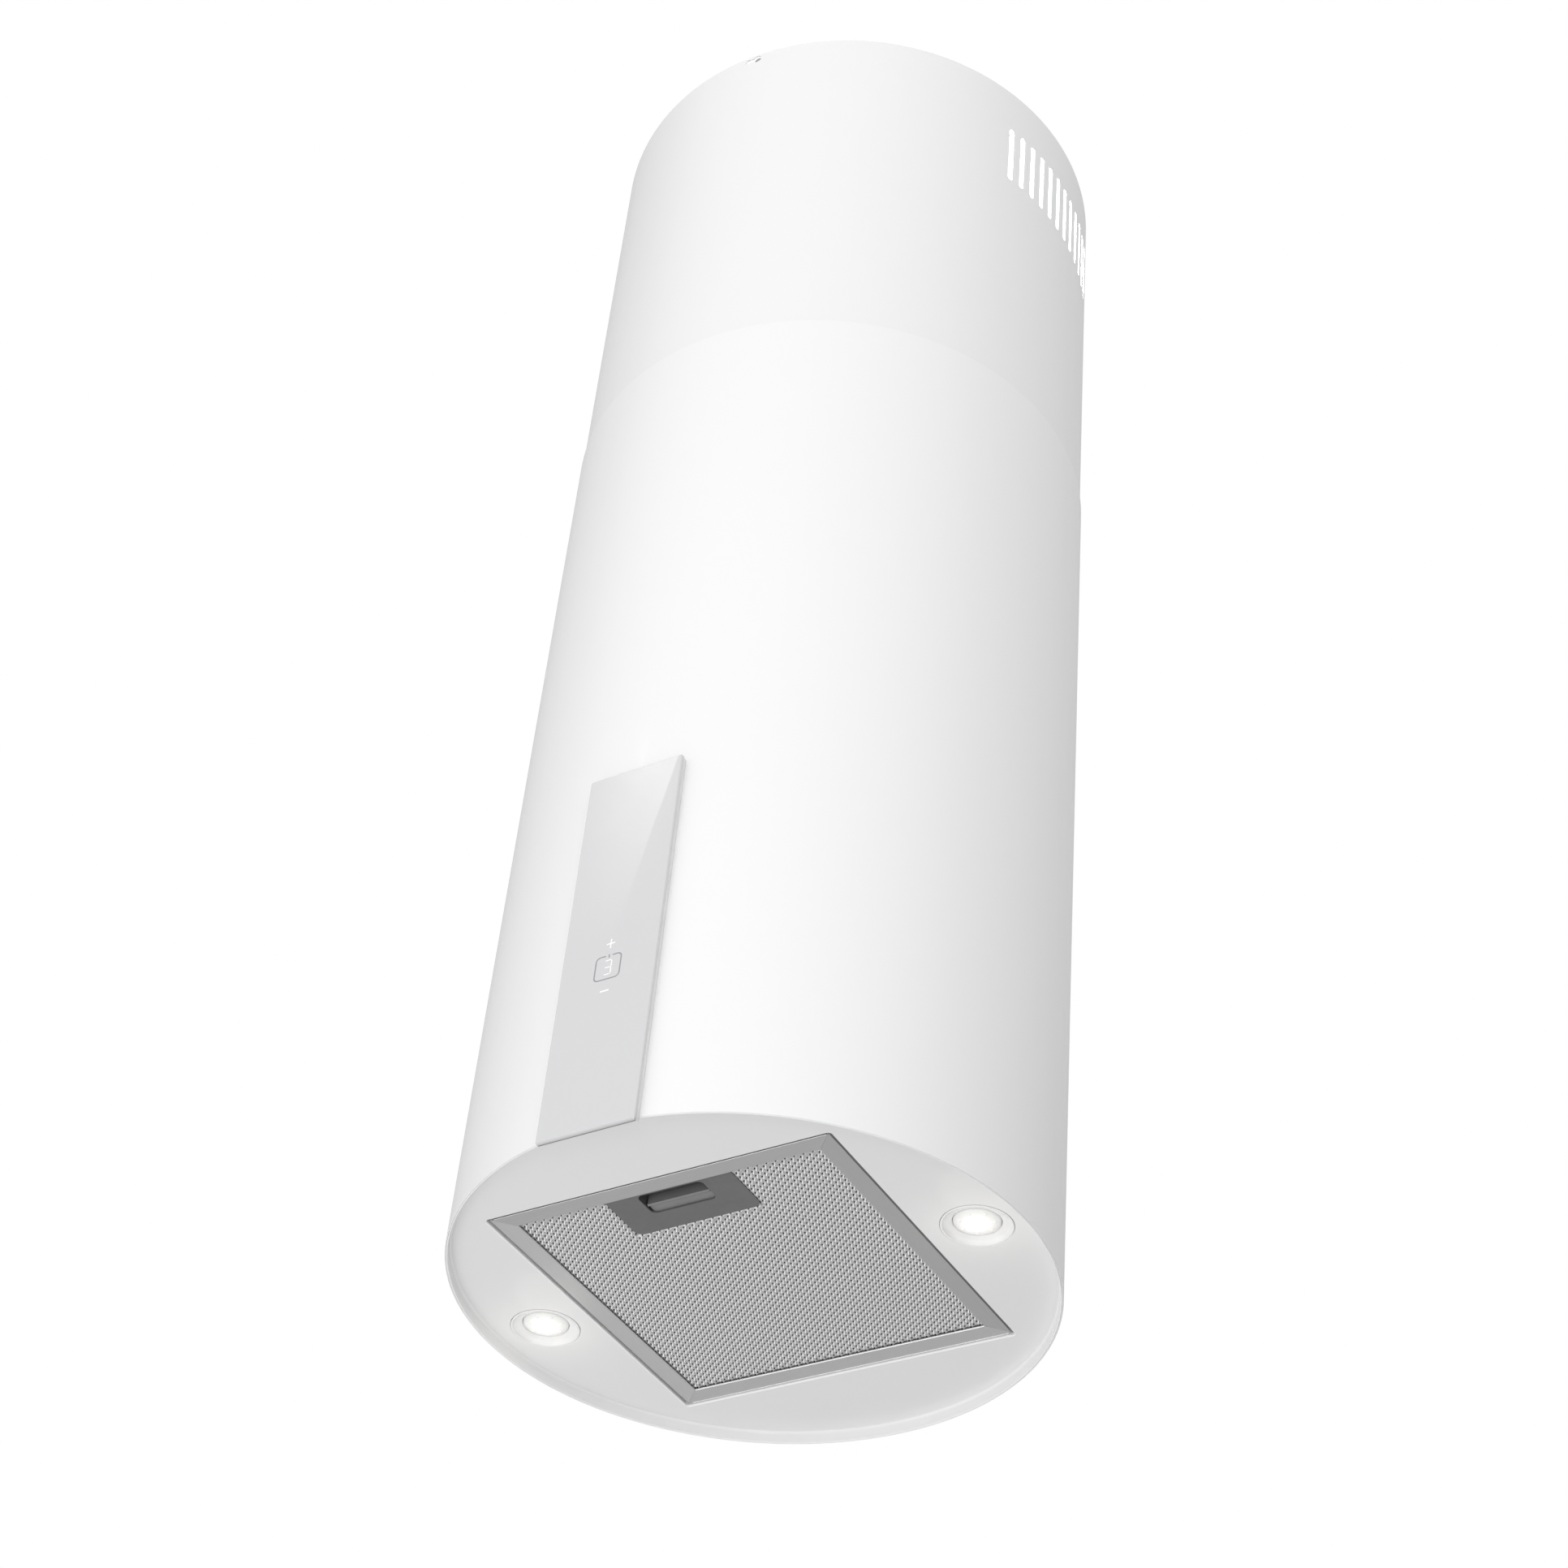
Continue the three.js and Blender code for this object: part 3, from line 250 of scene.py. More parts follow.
def along_x(outline, half):
    """An outline of (y, height) pairs pushed along X, to both sides of the middle."""
    return loft([[(x, y, h) for y, h in outline] for x in (-half, half)])


def along_y(outline, span):
    """An outline of (x, height) pairs pushed along Y."""
    return loft([[(x, y, h) for x, h in outline] for y in span])


def boolean(obj, parts, operation="DIFFERENCE"):
    """Cuts solids from a piece, or adds them to it, and keeps the result as its mesh."""
    for part in parts:
        tool = link_object("tool", merged_mesh("tool", *part))
        step = obj.modifiers.new("shape", "BOOLEAN")
        step.operation = operation
        step.solver = "EXACT"
        step.object = tool
        depsgraph = bpy.context.evaluated_depsgraph_get()
        result = bpy.data.meshes.new_from_object(obj.evaluated_get(depsgraph))
        obj.modifiers.remove(step)
        obj.data = result
        bpy.data.objects.remove(tool)


# -------- materials


def empty_tree(owner):
    """The node tree of a material or a world, with nothing in it."""
    owner.use_nodes = True
    owner.node_tree.nodes.clear()
    return owner.node_tree


def shader_node(tree, kind, **inputs):
    """A new node, with values for some of its inputs."""
    node = tree.nodes.new("ShaderNode" + kind)
    for name, value in inputs.items():
        node.inputs[name.replace("_", " ")].default_value = value
    return node


def range_node(tree, value, start, end, low, high):
    """Maps a value from one range to another, held at both ends."""
    node = shader_node(tree, "MapRange", From_Min=start, From_Max=end, To_Min=low, To_Max=high)
    tree.links.new(value, node.inputs["Value"])
    return node.outputs["Result"]


class Finish:
    """A procedural material: a Principled shader and short ways to feed it."""

    def __init__(self, name, **settings):
        self.material = bpy.data.materials.new(name)
        self.tree = empty_tree(self.material)
        self.shader = shader_node(self.tree, "BsdfPrincipled", **settings)
        self.link(self.shader.outputs["BSDF"], shader_node(self.tree, "OutputMaterial").inputs["Surface"])
        self.coords = shader_node(self.tree, "TexCoord")

    def link(self, source, target):
        self.tree.links.new(source, target)

    def stretched(self, scale=(1, 1, 1)):
        mapping = shader_node(self.tree, "Mapping", Scale=scale)
        self.link(self.coords.outputs["Object"], mapping.inputs["Vector"])
        return mapping.outputs["Vector"]

    def noise(self, scale, detail, roughness=0.5, stretch=(1, 1, 1)):
        node = shader_node(self.tree, "TexNoise", Scale=scale, Detail=detail, Roughness=roughness)
        self.link(self.stretched(stretch), node.inputs["Vector"])
        return node.outputs["Fac"]

    def cells(self, scale, feature="F1"):
        node = shader_node(self.tree, "TexVoronoi", Scale=scale)
        node.feature = feature
        self.link(self.stretched(), node.inputs["Vector"])
        return node.outputs["Color"] if feature == "F1" else node.outputs["Distance"]

    def ranged(self, value, low, high, start, end):
        return range_node(self.tree, value, start, end, low, high)

    def colours(self, value, low, high, start=0.3, end=0.7):
        node = shader_node(self.tree, "ValToRGB")
        for stop, position, colour in zip(node.color_ramp.elements, (start, end), (low, high)):
            stop.position = position
            stop.color = (*colour, 1)
        self.link(value, node.inputs["Fac"])
        self.link(node.outputs["Color"], self.shader.inputs["Base Color"])

    def roughness(self, value, low, high, start=0.3, end=0.7):
        self.link(self.ranged(value, low, high, start, end), self.shader.inputs["Roughness"])

    def bump(self, value, height):
        """Bumps of a height in millimetres."""
        node = shader_node(self.tree, "Bump", Strength=1.0, Distance=height * MM)
        self.link(value, node.inputs["Height"])
        self.link(node.outputs["Normal"], self.shader.inputs["Normal"])


def grey(level):
    return level, level, level


def white_paint(name, level):
    """Powder-coated steel: nearly smooth, with a faint orange peel under a clear gloss."""
    f = Finish(name, Coat_Weight=0.35, Coat_Roughness=0.06, IOR=1.48)
    f.colours(f.noise(2.5, 1), grey(level - 0.004), grey(level + 0.004), 0.2, 0.8)
    f.roughness(f.noise(25.0, 2), 0.25, 0.262)
    f.bump(f.noise(600.0, 1), 0.0012)
    return f.material


def control_glass_finish():
    """Back-painted grey-white float glass."""
    f = Finish("white_glass", IOR=1.52, Coat_Weight=1.0, Coat_Roughness=0.01)
    f.colours(f.noise(14.0, 2), (0.607, 0.607, 0.617), (0.613, 0.613, 0.623))
    f.roughness(f.noise(60.0, 4), 0.08, 0.13)
    f.bump(f.noise(30.0, 1), 0.004)
    return f.material


def satin_aluminium(name, level, along, metallic=0.55):
    """Rolled aluminium with its grain along one axis: 'x', 'y' or 'z'."""
    f = Finish(name, Metallic=metallic)
    stretch = tuple(0.02 if axis == along else 1.0 for axis in "xyz")
    f.colours(f.noise(2600.0, 4, 0.6, stretch), grey(level * 0.97), grey(level * 1.03))
    f.roughness(f.noise(700.0, 3, 0.6, stretch), 0.36, 0.5)
    f.bump(f.noise(2600.0, 3, 0.6, stretch), 0.012)
    return f.material


GLINT_FADE_H = (11.4, 10.9)  # from the plain sheet to the painted glint on the knuckles


def pierced_foil(name, level, glint_level):
    """Aluminium foil, satin where it is flat, with a painted glint: its colour turns near white on the
    knuckles, which reach down from it.
    """
    f = Finish(name, Metallic=0.8)
    split = shader_node(f.tree, "SeparateXYZ")
    f.link(f.coords.outputs["Object"], split.inputs[0])
    flat, crown = (RIM_Z + height * MM for height in GLINT_FADE_H)
    rise = f.ranged(split.outputs["Z"], 0.15, 0.85, flat, crown)
    # Painted glint: the height mask, with a little noise for uneven tone.
    glint_and_tone = shader_node(f.tree, "Math")
    glint_and_tone.operation = "MULTIPLY_ADD"
    glint_and_tone.inputs[1].default_value = 0.12
    f.link(f.noise(300.0, 3), glint_and_tone.inputs[0])
    f.link(rise, glint_and_tone.inputs[2])
    f.colours(glint_and_tone.outputs[0], grey(level), grey(glint_level), 0.15, 0.95)
    f.roughness(f.noise(500.0, 3), 0.22, 0.34)
    f.bump(f.noise(2200.0, 3), 0.01)
    return f.material


def moulded_plastic(name, level, gloss=0.5):
    """Moulded plastic with a fine spark-eroded grain."""
    f = Finish(name, IOR=1.5)
    f.colours(f.noise(60.0, 4), grey(level * 0.96), grey(level * 1.04))
    f.roughness(f.noise(200.0, 4), gloss - 0.06, gloss + 0.08)
    f.bump(f.noise(1500.0, 2), 0.02)
    return f.material


def galvanised():
    """Zinc-coated sheet with its spangle of large flat crystals."""
    f = Finish("galvanised_steel", Metallic=0.85)
    spangle = f.cells(160.0)
    f.colours(spangle, (0.42, 0.44, 0.46), (0.62, 0.64, 0.66), 0.1, 0.9)
    f.roughness(spangle, 0.32, 0.52, 0.1, 0.9)
    f.bump(f.noise(400.0, 4), 0.02)
    return f.material


def turned_steel(name, level):
    """Zinc-plated steel with fine turning marks."""
    f = Finish(name, Metallic=1.0)
    f.colours(f.noise(240.0, 4), grey(level * 0.92), grey(level * 1.05))
    f.roughness(f.noise(900.0, 3, 0.6, (1, 1, 6)), 0.2, 0.34)
    f.bump(f.noise(1800.0, 2, 0.5, (1, 1, 6)), 0.01)
    return f.material


def motor_paint():
    """Baked enamel on the motor can, slightly pebbled."""
    f = Finish("motor_enamel", Metallic=0.2, Coat_Weight=0.2, Coat_Roughness=0.2)
    f.colours(f.noise(80.0, 4), (0.06, 0.065, 0.07), (0.09, 0.095, 0.10))
    f.roughness(f.noise(160.0, 4), 0.38, 0.5)
    f.bump(f.noise(1000.0, 3), 0.03)
    return f.material


def board_green():
    """Solder mask over copper tracks."""
    f = Finish("circuit_board", Coat_Weight=0.4, Coat_Roughness=0.1)
    tracks = f.cells(350.0, "DISTANCE_TO_EDGE")
    f.colours(tracks, (0.01, 0.10, 0.045), (0.02, 0.17, 0.08), 0.0, 0.2)
    f.roughness(f.noise(300.0, 3), 0.25, 0.35)
    f.bump(tracks, 0.03)
    return f.material


def lamp_dish_finish():
    """Glossy white reflector."""
    f = Finish("lamp_dish", Coat_Weight=0.6, Coat_Roughness=0.05)
    f.colours(f.noise(90.0, 3), grey(0.84), grey(0.88))
    f.roughness(f.noise(120.0, 3), 0.12, 0.2)
    f.bump(f.noise(900.0, 2), 0.006)
    return f.material


LAMP_FADE = (3.0, 15.0)  # distances from the middle of the lens


def lamp_light_finish(name, strength, centre=None):
    """A lit diffuser. With a centre given, it is brightest there and dark at its edge."""
    f = Finish(name, Emission_Strength=strength, Emission_Color=(1.0, 0.985, 0.95, 1), Roughness=0.3)
    if centre:
        distance = shader_node(f.tree, "VectorMath")
        distance.operation = "DISTANCE"
        f.link(f.coords.outputs["Object"], distance.inputs[0])
        distance.inputs[1].default_value = place(centre)
        fading = f.ranged(distance.outputs["Value"], strength, 0.0, *(reach * MM for reach in LAMP_FADE))
        f.link(fading, f.shader.inputs["Emission Strength"])
    f.colours(f.noise(90.0, 2), (0.79, 0.79, 0.78), (0.83, 0.83, 0.82))
    f.bump(f.noise(700.0, 2), 0.02)
    return f.material


def printed(name, colour):
    """Screen-printed ink on the glass."""
    f = Finish(name)
    thin = tuple(c * 0.97 for c in colour)
    thick = tuple(min(1, c * 1.02) for c in colour)
    f.colours(f.noise(400.0, 3), thin, thick)
    f.roughness(f.noise(300.0, 3), 0.26, 0.34)
    return f.material


WHITE = white_paint("white_paint", 0.86)
# The upper sleeve's paint is a shade darker than the lower one's: partly a real difference between the two
# sleeves, partly painted shade that marks the seam between them.
UPPER_WHITE = white_paint("white_paint_upper", 0.84)
PLATE_WHITE = white_paint("white_paint_plate", 0.83)
# A brighter copy of the white paint: painted highlight on the plate's flange, on bends of the filter opening
# and on the hem.
HIGHLIGHT_WHITE = white_paint("white_paint_painted_highlight", 0.95)
GLASS = control_glass_finish()
# One aluminium for all four strips, painted lighter or darker by side for how the light falls on each:
# painted light and shade.
STRIP_FINISHES_LIT_BY_SIDE = {side: satin_aluminium(f"filter_aluminium_{side}", level, axis)
                for side, level, axis in (("front", 0.475, "x"), ("rear", 0.53, "x"),
                                          ("left", 0.56, "y"), ("right", 0.455, "y"))}
HEAT_SINK = satin_aluminium("heat_sink", 0.6, "z", 0.9)
MESH = pierced_foil("filter_mesh", 0.55, 0.98)
BURNISHED = turned_steel("filter_aluminium_bead", 0.93)
# The same foil painted dark for the core layer: painted shade inside the filter.
MESH_SHADED_CORE = pierced_foil("filter_mesh_shaded_core", 0.22, 0.3)
MESH_UPPER = pierced_foil("filter_mesh_upper", 0.56, 0.6)
GREY_PLASTIC = moulded_plastic("grey_plastic", 0.142)
LATCH_PLASTIC = moulded_plastic("grey_plastic_latch", 0.215, gloss=0.35)
BLACK_PLASTIC = moulded_plastic("black_plastic", 0.022, gloss=0.45)
# Dark tape: a real part, also dark enough to stand in for the shadow gap under the glass.
TAPE = moulded_plastic("black_plastic_tape", 0.25, gloss=0.7)
# Near-black plastic, put where shade falls at the stepped edges of the filter frame: painted shade.
GAP_SHADE_PLASTIC = moulded_plastic("black_plastic_gap_shade", 0.16, gloss=0.6)
# A far darker copy of the handle's plastic, for painted shade inside the finger pocket.
POCKET_SHADE_PLASTIC = moulded_plastic("grey_plastic_pocket_shade", 0.06)
WHITE_PLASTIC = moulded_plastic("white_plastic", 0.78, gloss=0.42)
GALVANISED = galvanised()
STEEL = turned_steel("bright_steel", 0.62)
MOTOR = motor_paint()
BOARD = board_green()
LAMP_DISH = lamp_dish_finish()
LAMP_LIGHTS = {side: lamp_light_finish(f"lamp_light_{side}", 0.45, (x, 0.0, LENS_H)) for side, x in LAMPS}
LAMP_SPOT = lamp_light_finish("lamp_light_spots", 0.14)
INK_WHITE = printed("ink_white", (0.97, 0.97, 0.97))
INK_GREY = printed("ink_grey", (0.30, 0.30, 0.31))

# -------- sleeves


def tube_profile(outer, low, high):
    """Cross-section of a thin tube whose cut edges are slightly rounded."""
    inner = outer - SHEET
    return [(inner, low + ROLL), (inner + ROLL, low), (outer - ROLL, low), (outer, low + ROLL),
            (outer, high - ROLL), (outer - ROLL, high), (inner + ROLL, high), (inner, high - ROLL)]


def true_round_walls(obj):
    """Gives a tube's walls the normals of a true cylinder, so that cuts in it don't show in the gloss."""
    mesh = obj.data
    normals = [Vector(n.vector) for n in mesh.corner_normals]
    for face in mesh.polygons:
        radial = Vector((face.center.x, face.center.y, 0)).normalized()
        facing = face.normal.dot(radial)
        if abs(facing) < 0.95:
            continue
        for corner in face.loop_indices:
            at = mesh.vertices[mesh.loops[corner].vertex_index].co
            normals[corner] = Vector((at.x, at.y, 0)).normalized() * math.copysign(1, facing)
    mesh.normals_split_custom_set(normals)


CUT_REACH = (HOOD_R - 13, HOOD_R + 6)  # from inside the sleeves to outside them


def vent_cutters():
    """Upright slots with round ends, through both sides of the sleeve."""
    low, high = VENT_SPAN
    outline = rounded_rect(-VENT_HALF, VENT_HALF, low, high, VENT_HALF * 0.999, 8)
    parts = []
    for i in range(VENTS):
        turn = math.radians((i - (VENTS - 1) / 2) * VENT_PITCH)
        c, s = math.cos(turn), math.sin(turn)
        for side in (-1, 1):
            loops = []
            for reach in CUT_REACH:
                x, y = side * reach * c, side * reach * s
                loops.append([(x - u * s, y + u * c, h) for u, h in outline])
            parts.append(loft(loops))
    return join_parts(*parts)


def keyhole_cutter(side):
    """A round hole that passes a screw head, and the narrow slot that it turns into."""
    centre = -side * KEYHOLE_X
    start = math.degrees(math.asin(KEYHOLE_SLOT_HALF / KEYHOLE_R))
    outline = arc(0, 0, KEYHOLE_R, start, 360 - start, 24)
    outline += arc(KEYHOLE_SLOT, 0, KEYHOLE_SLOT_HALF, -90, 90, 8)
    loops = []
    for reach in CUT_REACH:
        loops.append([(centre + side * u, side * reach, KEYHOLE_H + v) for u, v in outline])
    return loft(loops)


def make_sleeve(name, radius, span, material, body, node, cutters):
    """A tube with its holes cut, shaded as a true cylinder."""
    tube = revolve(tube_profile(radius, *span), ROUND_STEPS)
    shell = new_piece(name, tube, material, body, [node])
    boolean(shell, [cutters])
    smooth(shell)
    true_round_walls(shell)


def make_sleeves():
    cutters = join_parts(vent_cutters(), keyhole_cutter(-1), keyhole_cutter(1))
    make_sleeve("upper_sleeve_shell", UPPER_R, (HEIGHT - UPPER_SLEEVE, HEIGHT),
                UPPER_WHITE, "upper_tube", "upper_sleeve", cutters)
    window = block((-WINDOW_HALF, WINDOW_HALF), (-HOOD_R - 6, -HOOD_R + 20), WINDOW_SPAN)
    make_sleeve("lower_sleeve_shell", HOOD_R, (0.0, LOWER_SLEEVE),
                WHITE, "lower_hood", "lower_sleeve", window)


# -------- bottom plate


LAMP_STEPS = 96


def square_loop(offset, height):
    """The outline of the filter opening, moved outward by an offset."""
    half = OPENING_HALF + offset
    return at_height(rounded_rect(-half, half, -half, half, OPENING_CORNER + offset), height)


PLATE_TOP = RIM_DEPTH + PLATE
PLATE_FLAT_R = PLATE_R - PLATE - PLATE_BEND


def plate_flange():
    """The turned-down edge, from the flat face round to the top."""
    inner = PLATE_R - PLATE
    bend = arc(PLATE_FLAT_R, RIM_DEPTH - PLATE_BEND, PLATE_BEND, 90, 0, 6)
    profile = bend + [(inner, ROLL), (inner + ROLL, 0.0), (PLATE_R - ROLL, 0.0), (PLATE_R, ROLL),
                      (PLATE_R, PLATE_TOP - 1.5), (PLATE_R - 0.5, PLATE_TOP - 0.5),
                      (PLATE_R - 1.5, PLATE_TOP), (PLATE_FLAT_R, PLATE_TOP)]
    return revolve(profile, ROUND_STEPS, closed=False)


def plate_opening():
    """The drawn edge round the filter."""
    bend = arc(0, 0, OPENING_BEND, 90, 0, 5)
    stations = [(OPENING_BEND - x, RIM_DEPTH + OPENING_BEND - y) for x, y in bend]
    stations += [(0.0, OPENING_TOP - ROLL), (ROLL, OPENING_TOP), (PLATE - ROLL, OPENING_TOP),
                 (PLATE, OPENING_TOP - ROLL), (PLATE, PLATE_TOP + 0.6), (PLATE + 0.3, PLATE_TOP + 0.2),
                 (OPENING_BEND, PLATE_TOP)]
    return loft([square_loop(d, h) for d, h in stations], False, False)


def lamp_hole(x):
    """The drawn edge of a lamp hole."""
    bend = arc(0, 0, LAMP_BEND, 90, 0, 4)
    stations = [(LAMP_HOLE_R + LAMP_BEND - dx, RIM_DEPTH + LAMP_BEND - dh) for dx, dh in bend]
    stations += [(LAMP_HOLE_R, PLATE_TOP), (LAMP_HOLE_R + LAMP_BEND, PLATE_TOP)]
    return loft([circle(r, h, LAMP_STEPS, x) for r, h in stations], False, False)


def plate_faces():
    """The flat underside and top, with their three openings."""
    faces = []
    for height in (RIM_DEPTH, PLATE_TOP):
        lamps = [circle(LAMP_HOLE_R + LAMP_BEND, height, LAMP_STEPS, x) for _, x in LAMPS]
        rim = circle(PLATE_FLAT_R, height, ROUND_STEPS)
        faces.append(flat_region(rim, square_loop(OPENING_BEND, height), *lamps))
    return faces


def paint_highlight_on_edges(plate):
    """Painted highlight: a brighter white on the flange, and on the bends at the rear and left of the filter
    opening.
    """
    plate.data.materials.append(HIGHLIGHT_WHITE)
    for face in plate.data.polygons:
        x, y = face.center.x / MM, face.center.y / MM
        on_flange = math.hypot(x, y) > PLATE_FLAT_R + PLATE_BEND / 2
        at_opening = max(abs(x), abs(y)) < OPENING_HALF + OPENING_BEND
        if on_flange or (at_opening and max(face.normal.x, -face.normal.y) > 0.1):
            face.material_index = 1


def make_bottom_plate():
    """One pressing: a flange round the edge, a drawn edge round the filter, and two lamp holes."""
    parts = [plate_flange(), plate_opening(), lamp_hole(-LAMP_X), lamp_hole(LAMP_X), *plate_faces()]
    plate = new_piece("bottom_plate_pressing", join_parts(*parts), PLATE_WHITE, "lower_hood",
                      ["bottom_plate"], COARSE_WELD)
    paint_highlight_on_edges(plate)
    weighted = plate.modifiers.new("shading", "WEIGHTED_NORMAL")
    weighted.keep_sharp = True


def make_hem():
    """The rolled edge of the filter opening, along the rear and the left, bright with painted highlight."""
    rear = rod(OPENING_HALF + 0.65, RIM_DEPTH + 0.85, HEM_R)
    left = [(-across, h) for across, h in rear]
    hems = join_parts(along_x(rear, HEM_HALF), along_y(left, (-HEM_HALF, HEM_HALF)))
    new_piece("bottom_plate_hem", hems, HIGHLIGHT_WHITE, "lower_hood")


# -------- control panel


INK = 0.02
INK_Y = (GLASS_FRONT - INK, GLASS_FRONT)


def stroke(points, width):
    """A printed line of constant width through (x, height) points, as a thin closed solid."""
    front, back = INK_Y
    loops = []
    for i, (x, h) in enumerate(points):
        before = points[max(i - 1, 0)]
        after = points[min(i + 1, len(points) - 1)]
        dx, dh = after[0] - before[0], after[1] - before[1]
        length = math.hypot(dx, dh)
        nx, nh = -dh / length * width / 2, dx / length * width / 2
        loops.append([(x + nx, front, h + nh), (x - nx, front, h - nh),
                      (x - nx, back, h - nh), (x + nx, back, h + nh)])
    return loft(loops)


def bar(x0, x1, h0, h1):
    """A printed rectangle."""
    return block((x0, x1), INK_Y, (h0, h1))


def segment(x, h, length, upright):
    """One bar of a seven-segment digit, with pointed ends."""
    half, w = length / 2, SEGMENT_HALF
    outline = [(-half, 0), (-half + w, -w), (half - w, -w), (half, 0), (half - w, w), (-half + w, w)]
    if upright:
        outline = [(v, u) for u, v in outline]
    return along_y([(x + u, h + v) for u, v in outline], INK_Y)


PLUS_H = 135.0
RING_H = 116.5
MINUS_H = 98.3
ICON_HALF = 3.1  # half the length of the minus and of the plus
SEGMENT_HALF = 0.375
DIGIT_HALF = (2.4, 5.4)
RING_HALF = 9.1
RING_CORNER = 3.0
RING_GAP = 2.4  # half the break at the top of the frame
RING_LINE = 0.9


def make_glass():
    loops = []
    for inset, y in ((0.5, GLASS_BACK), (0.0, GLASS_BACK - 0.4), (0.0, GLASS_FRONT + GLASS_BEVEL),
                     (0.08, GLASS_FRONT + GLASS_BEVEL - 0.25), (GLASS_BEVEL - 0.15, GLASS_FRONT + 0.05),
                     (GLASS_BEVEL, GLASS_FRONT)):
        outline = rounded_rect(-GLASS_HALF + inset, GLASS_HALF - inset,
                               GLASS_SPAN[0] + inset, GLASS_SPAN[1] - inset, 1.4 - inset, 5)
        loops.append([(x, y, h) for x, h in outline])
    glass = new_piece("control_glass_pane", loft(loops), GLASS, "lower_hood",
                      ["control_glass"])
    smooth(glass, 12)


def make_tape():
    """Foam tape behind the foot of the glass, dark enough to stand in for the shade in the gap there too:
    seen from below as a fine dark line, partly painted shade.
    """
    half = GLASS_HALF - 0.8
    tape = block((-half, half), (GLASS_BACK - 0.9, GLASS_BACK - 0.05), (GLASS_SPAN[0] - 0.02, 1.0))
    new_piece("control_glass_tape", tape, TAPE, "lower_hood")


def make_icons():
    """The plus, the minus and the digit, whose left bars are unlit."""
    line, dash = 0.45, 0.55
    plus_end = line + 3.2
    light = [bar(-ICON_HALF, ICON_HALF, PLUS_H - line, PLUS_H + line),
             bar(-line, line, PLUS_H + line, PLUS_H + plus_end),
             bar(-line, line, PLUS_H - plus_end, PLUS_H - line),
             bar(-ICON_HALF, ICON_HALF, MINUS_H - dash, MINUS_H + dash)]
    half_w, half_h = DIGIT_HALF
    for level in (-half_h, 0.0, half_h):
        light.append(segment(0.0, RING_H + level, 2 * half_w - 0.3, False))
    for level in (-half_h / 2, half_h / 2):
        light.append(segment(half_w, RING_H + level, half_h - 0.3, True))
    new_piece("panel_icons", join_parts(*light), INK_WHITE, "lower_hood")


def make_ring():
    """The round-cornered frame of the digit. It is open at the top, where a short bar stands."""
    top = RING_H + RING_HALF
    outline = rounded_rect(-RING_HALF, RING_HALF, RING_H - RING_HALF, top, RING_CORNER, 8)
    path = [(-RING_GAP, top)] + [p for p in outline if p[0] < 0]
    path += [p for p in outline if p[0] > 0 and p[1] < RING_H]
    path += [p for p in outline if p[0] > 0 and p[1] > RING_H] + [(RING_GAP, top)]
    half = RING_LINE / 2
    dark = [stroke(path, RING_LINE), bar(-half, half, top - 1.6, top + RING_LINE)]
    new_piece("panel_power_ring", join_parts(*dark), INK_GREY, "lower_hood")


# -------- lamps


DISH_REST = RIM_DEPTH + PLATE + 0.3  # underside of the dish's flange, just over the plate
DISH_MOUTH = RIM_DEPTH - 0.2
SPOTS = 7
SPOT_CIRCLE = 11.0
SPOT_R = 2.0
SPOT_H = 11.6
LENS_STEPS = 64
FINS = 7


def lamp_dish(x):
    """The reflector."""
    section = [(15.2, 13.4), (15.35, 11.9), (15.8, 11.3), (18.6, 10.4), (21.0, 9.3),
               (21.6, DISH_MOUTH + 0.1), (21.9, DISH_MOUTH), (22.5, DISH_MOUTH), (22.75, DISH_MOUTH + 0.15),
               (22.75, DISH_REST), (28.0, DISH_REST), (28.0, DISH_REST + 1.2), (22.6, DISH_REST + 1.4),
               (17.0, 18.2), (15.2, 19.2)]
    return revolve(section, LAMP_STEPS, (x, 0))


def lamp_lens(x):
    """The domed diffuser."""
    section = [(0.0, LENS_H), (3.0, 9.44), (6.0, 9.58), (9.0, 9.86), (11.5, 10.3), (13.4, 10.85),
               (14.6, 11.4), (15.05, 12.1), (15.05, 18.9), (0.0, 18.9)]
    return revolve(section, LENS_STEPS, (x, 0))


def lamp_spots(x):
    """Small round beads that stand out of the diffuser, one in front of each diode."""
    bead = arc(0, SPOT_H, SPOT_R, -90, 90, 8)
    spots = []
    for k in range(SPOTS):
        t = 2 * math.pi * (k + 0.25) / SPOTS
        spots.append(revolve(bead, 14, (x + SPOT_CIRCLE * math.cos(t), SPOT_CIRCLE * math.sin(t))))
    return join_parts(*spots)


def lamp_heat_sink(x):
    """The finned body above the plate."""
    fins = [(0.0, 19.6), (16.0, 19.6), (24.0, 21.0)]
    for k in range(FINS):
        h = 22.0 + 2.4 * k
        fins += [(24.0, h), (24.0, h + 1.0), (18.0, h + 1.2), (18.0, h + 2.2)]
    fins += [(17.0, 41.0), (12.0, 44.0), (0.0, 44.0)]
    return revolve(fins, LENS_STEPS, (x, 0))


def make_lamps():
    for side, x in LAMPS:
        for piece, shape, material, slot, node in (
                ("dish", lamp_dish(x), LAMP_DISH, "lamp_dish", "lamp_reflector"),
                ("diffuser", lamp_lens(x), LAMP_LIGHTS[side], "lamp_light", "lamp_lens"),
                ("spots", lamp_spots(x), LAMP_SPOT, "lamp_light", None),
                ("heat_sink", lamp_heat_sink(x), HEAT_SINK, "heat_sink", "lamp_housing")):
            replaced = [f"{node}_{side}"] if node else []
            new_piece(f"lamp_{piece}_{side}", shape, material, "lower_hood", replaced)


# -------- grease filter

STRIP_GAP = 0.06  # half of the fine joint at each mitre
STRIP_SKIN = 0.6
STRIPS = {"front": ("x", -1), "rear": ("x", 1), "left": ("y", -1), "right": ("y", 1)}
STRIP_STEPS = {"front": 2.0, "right": 1.2, "left": 0.5, "rear": 0.0}
STEP_RISE = 0.9
BEAD_HALF = 118.5


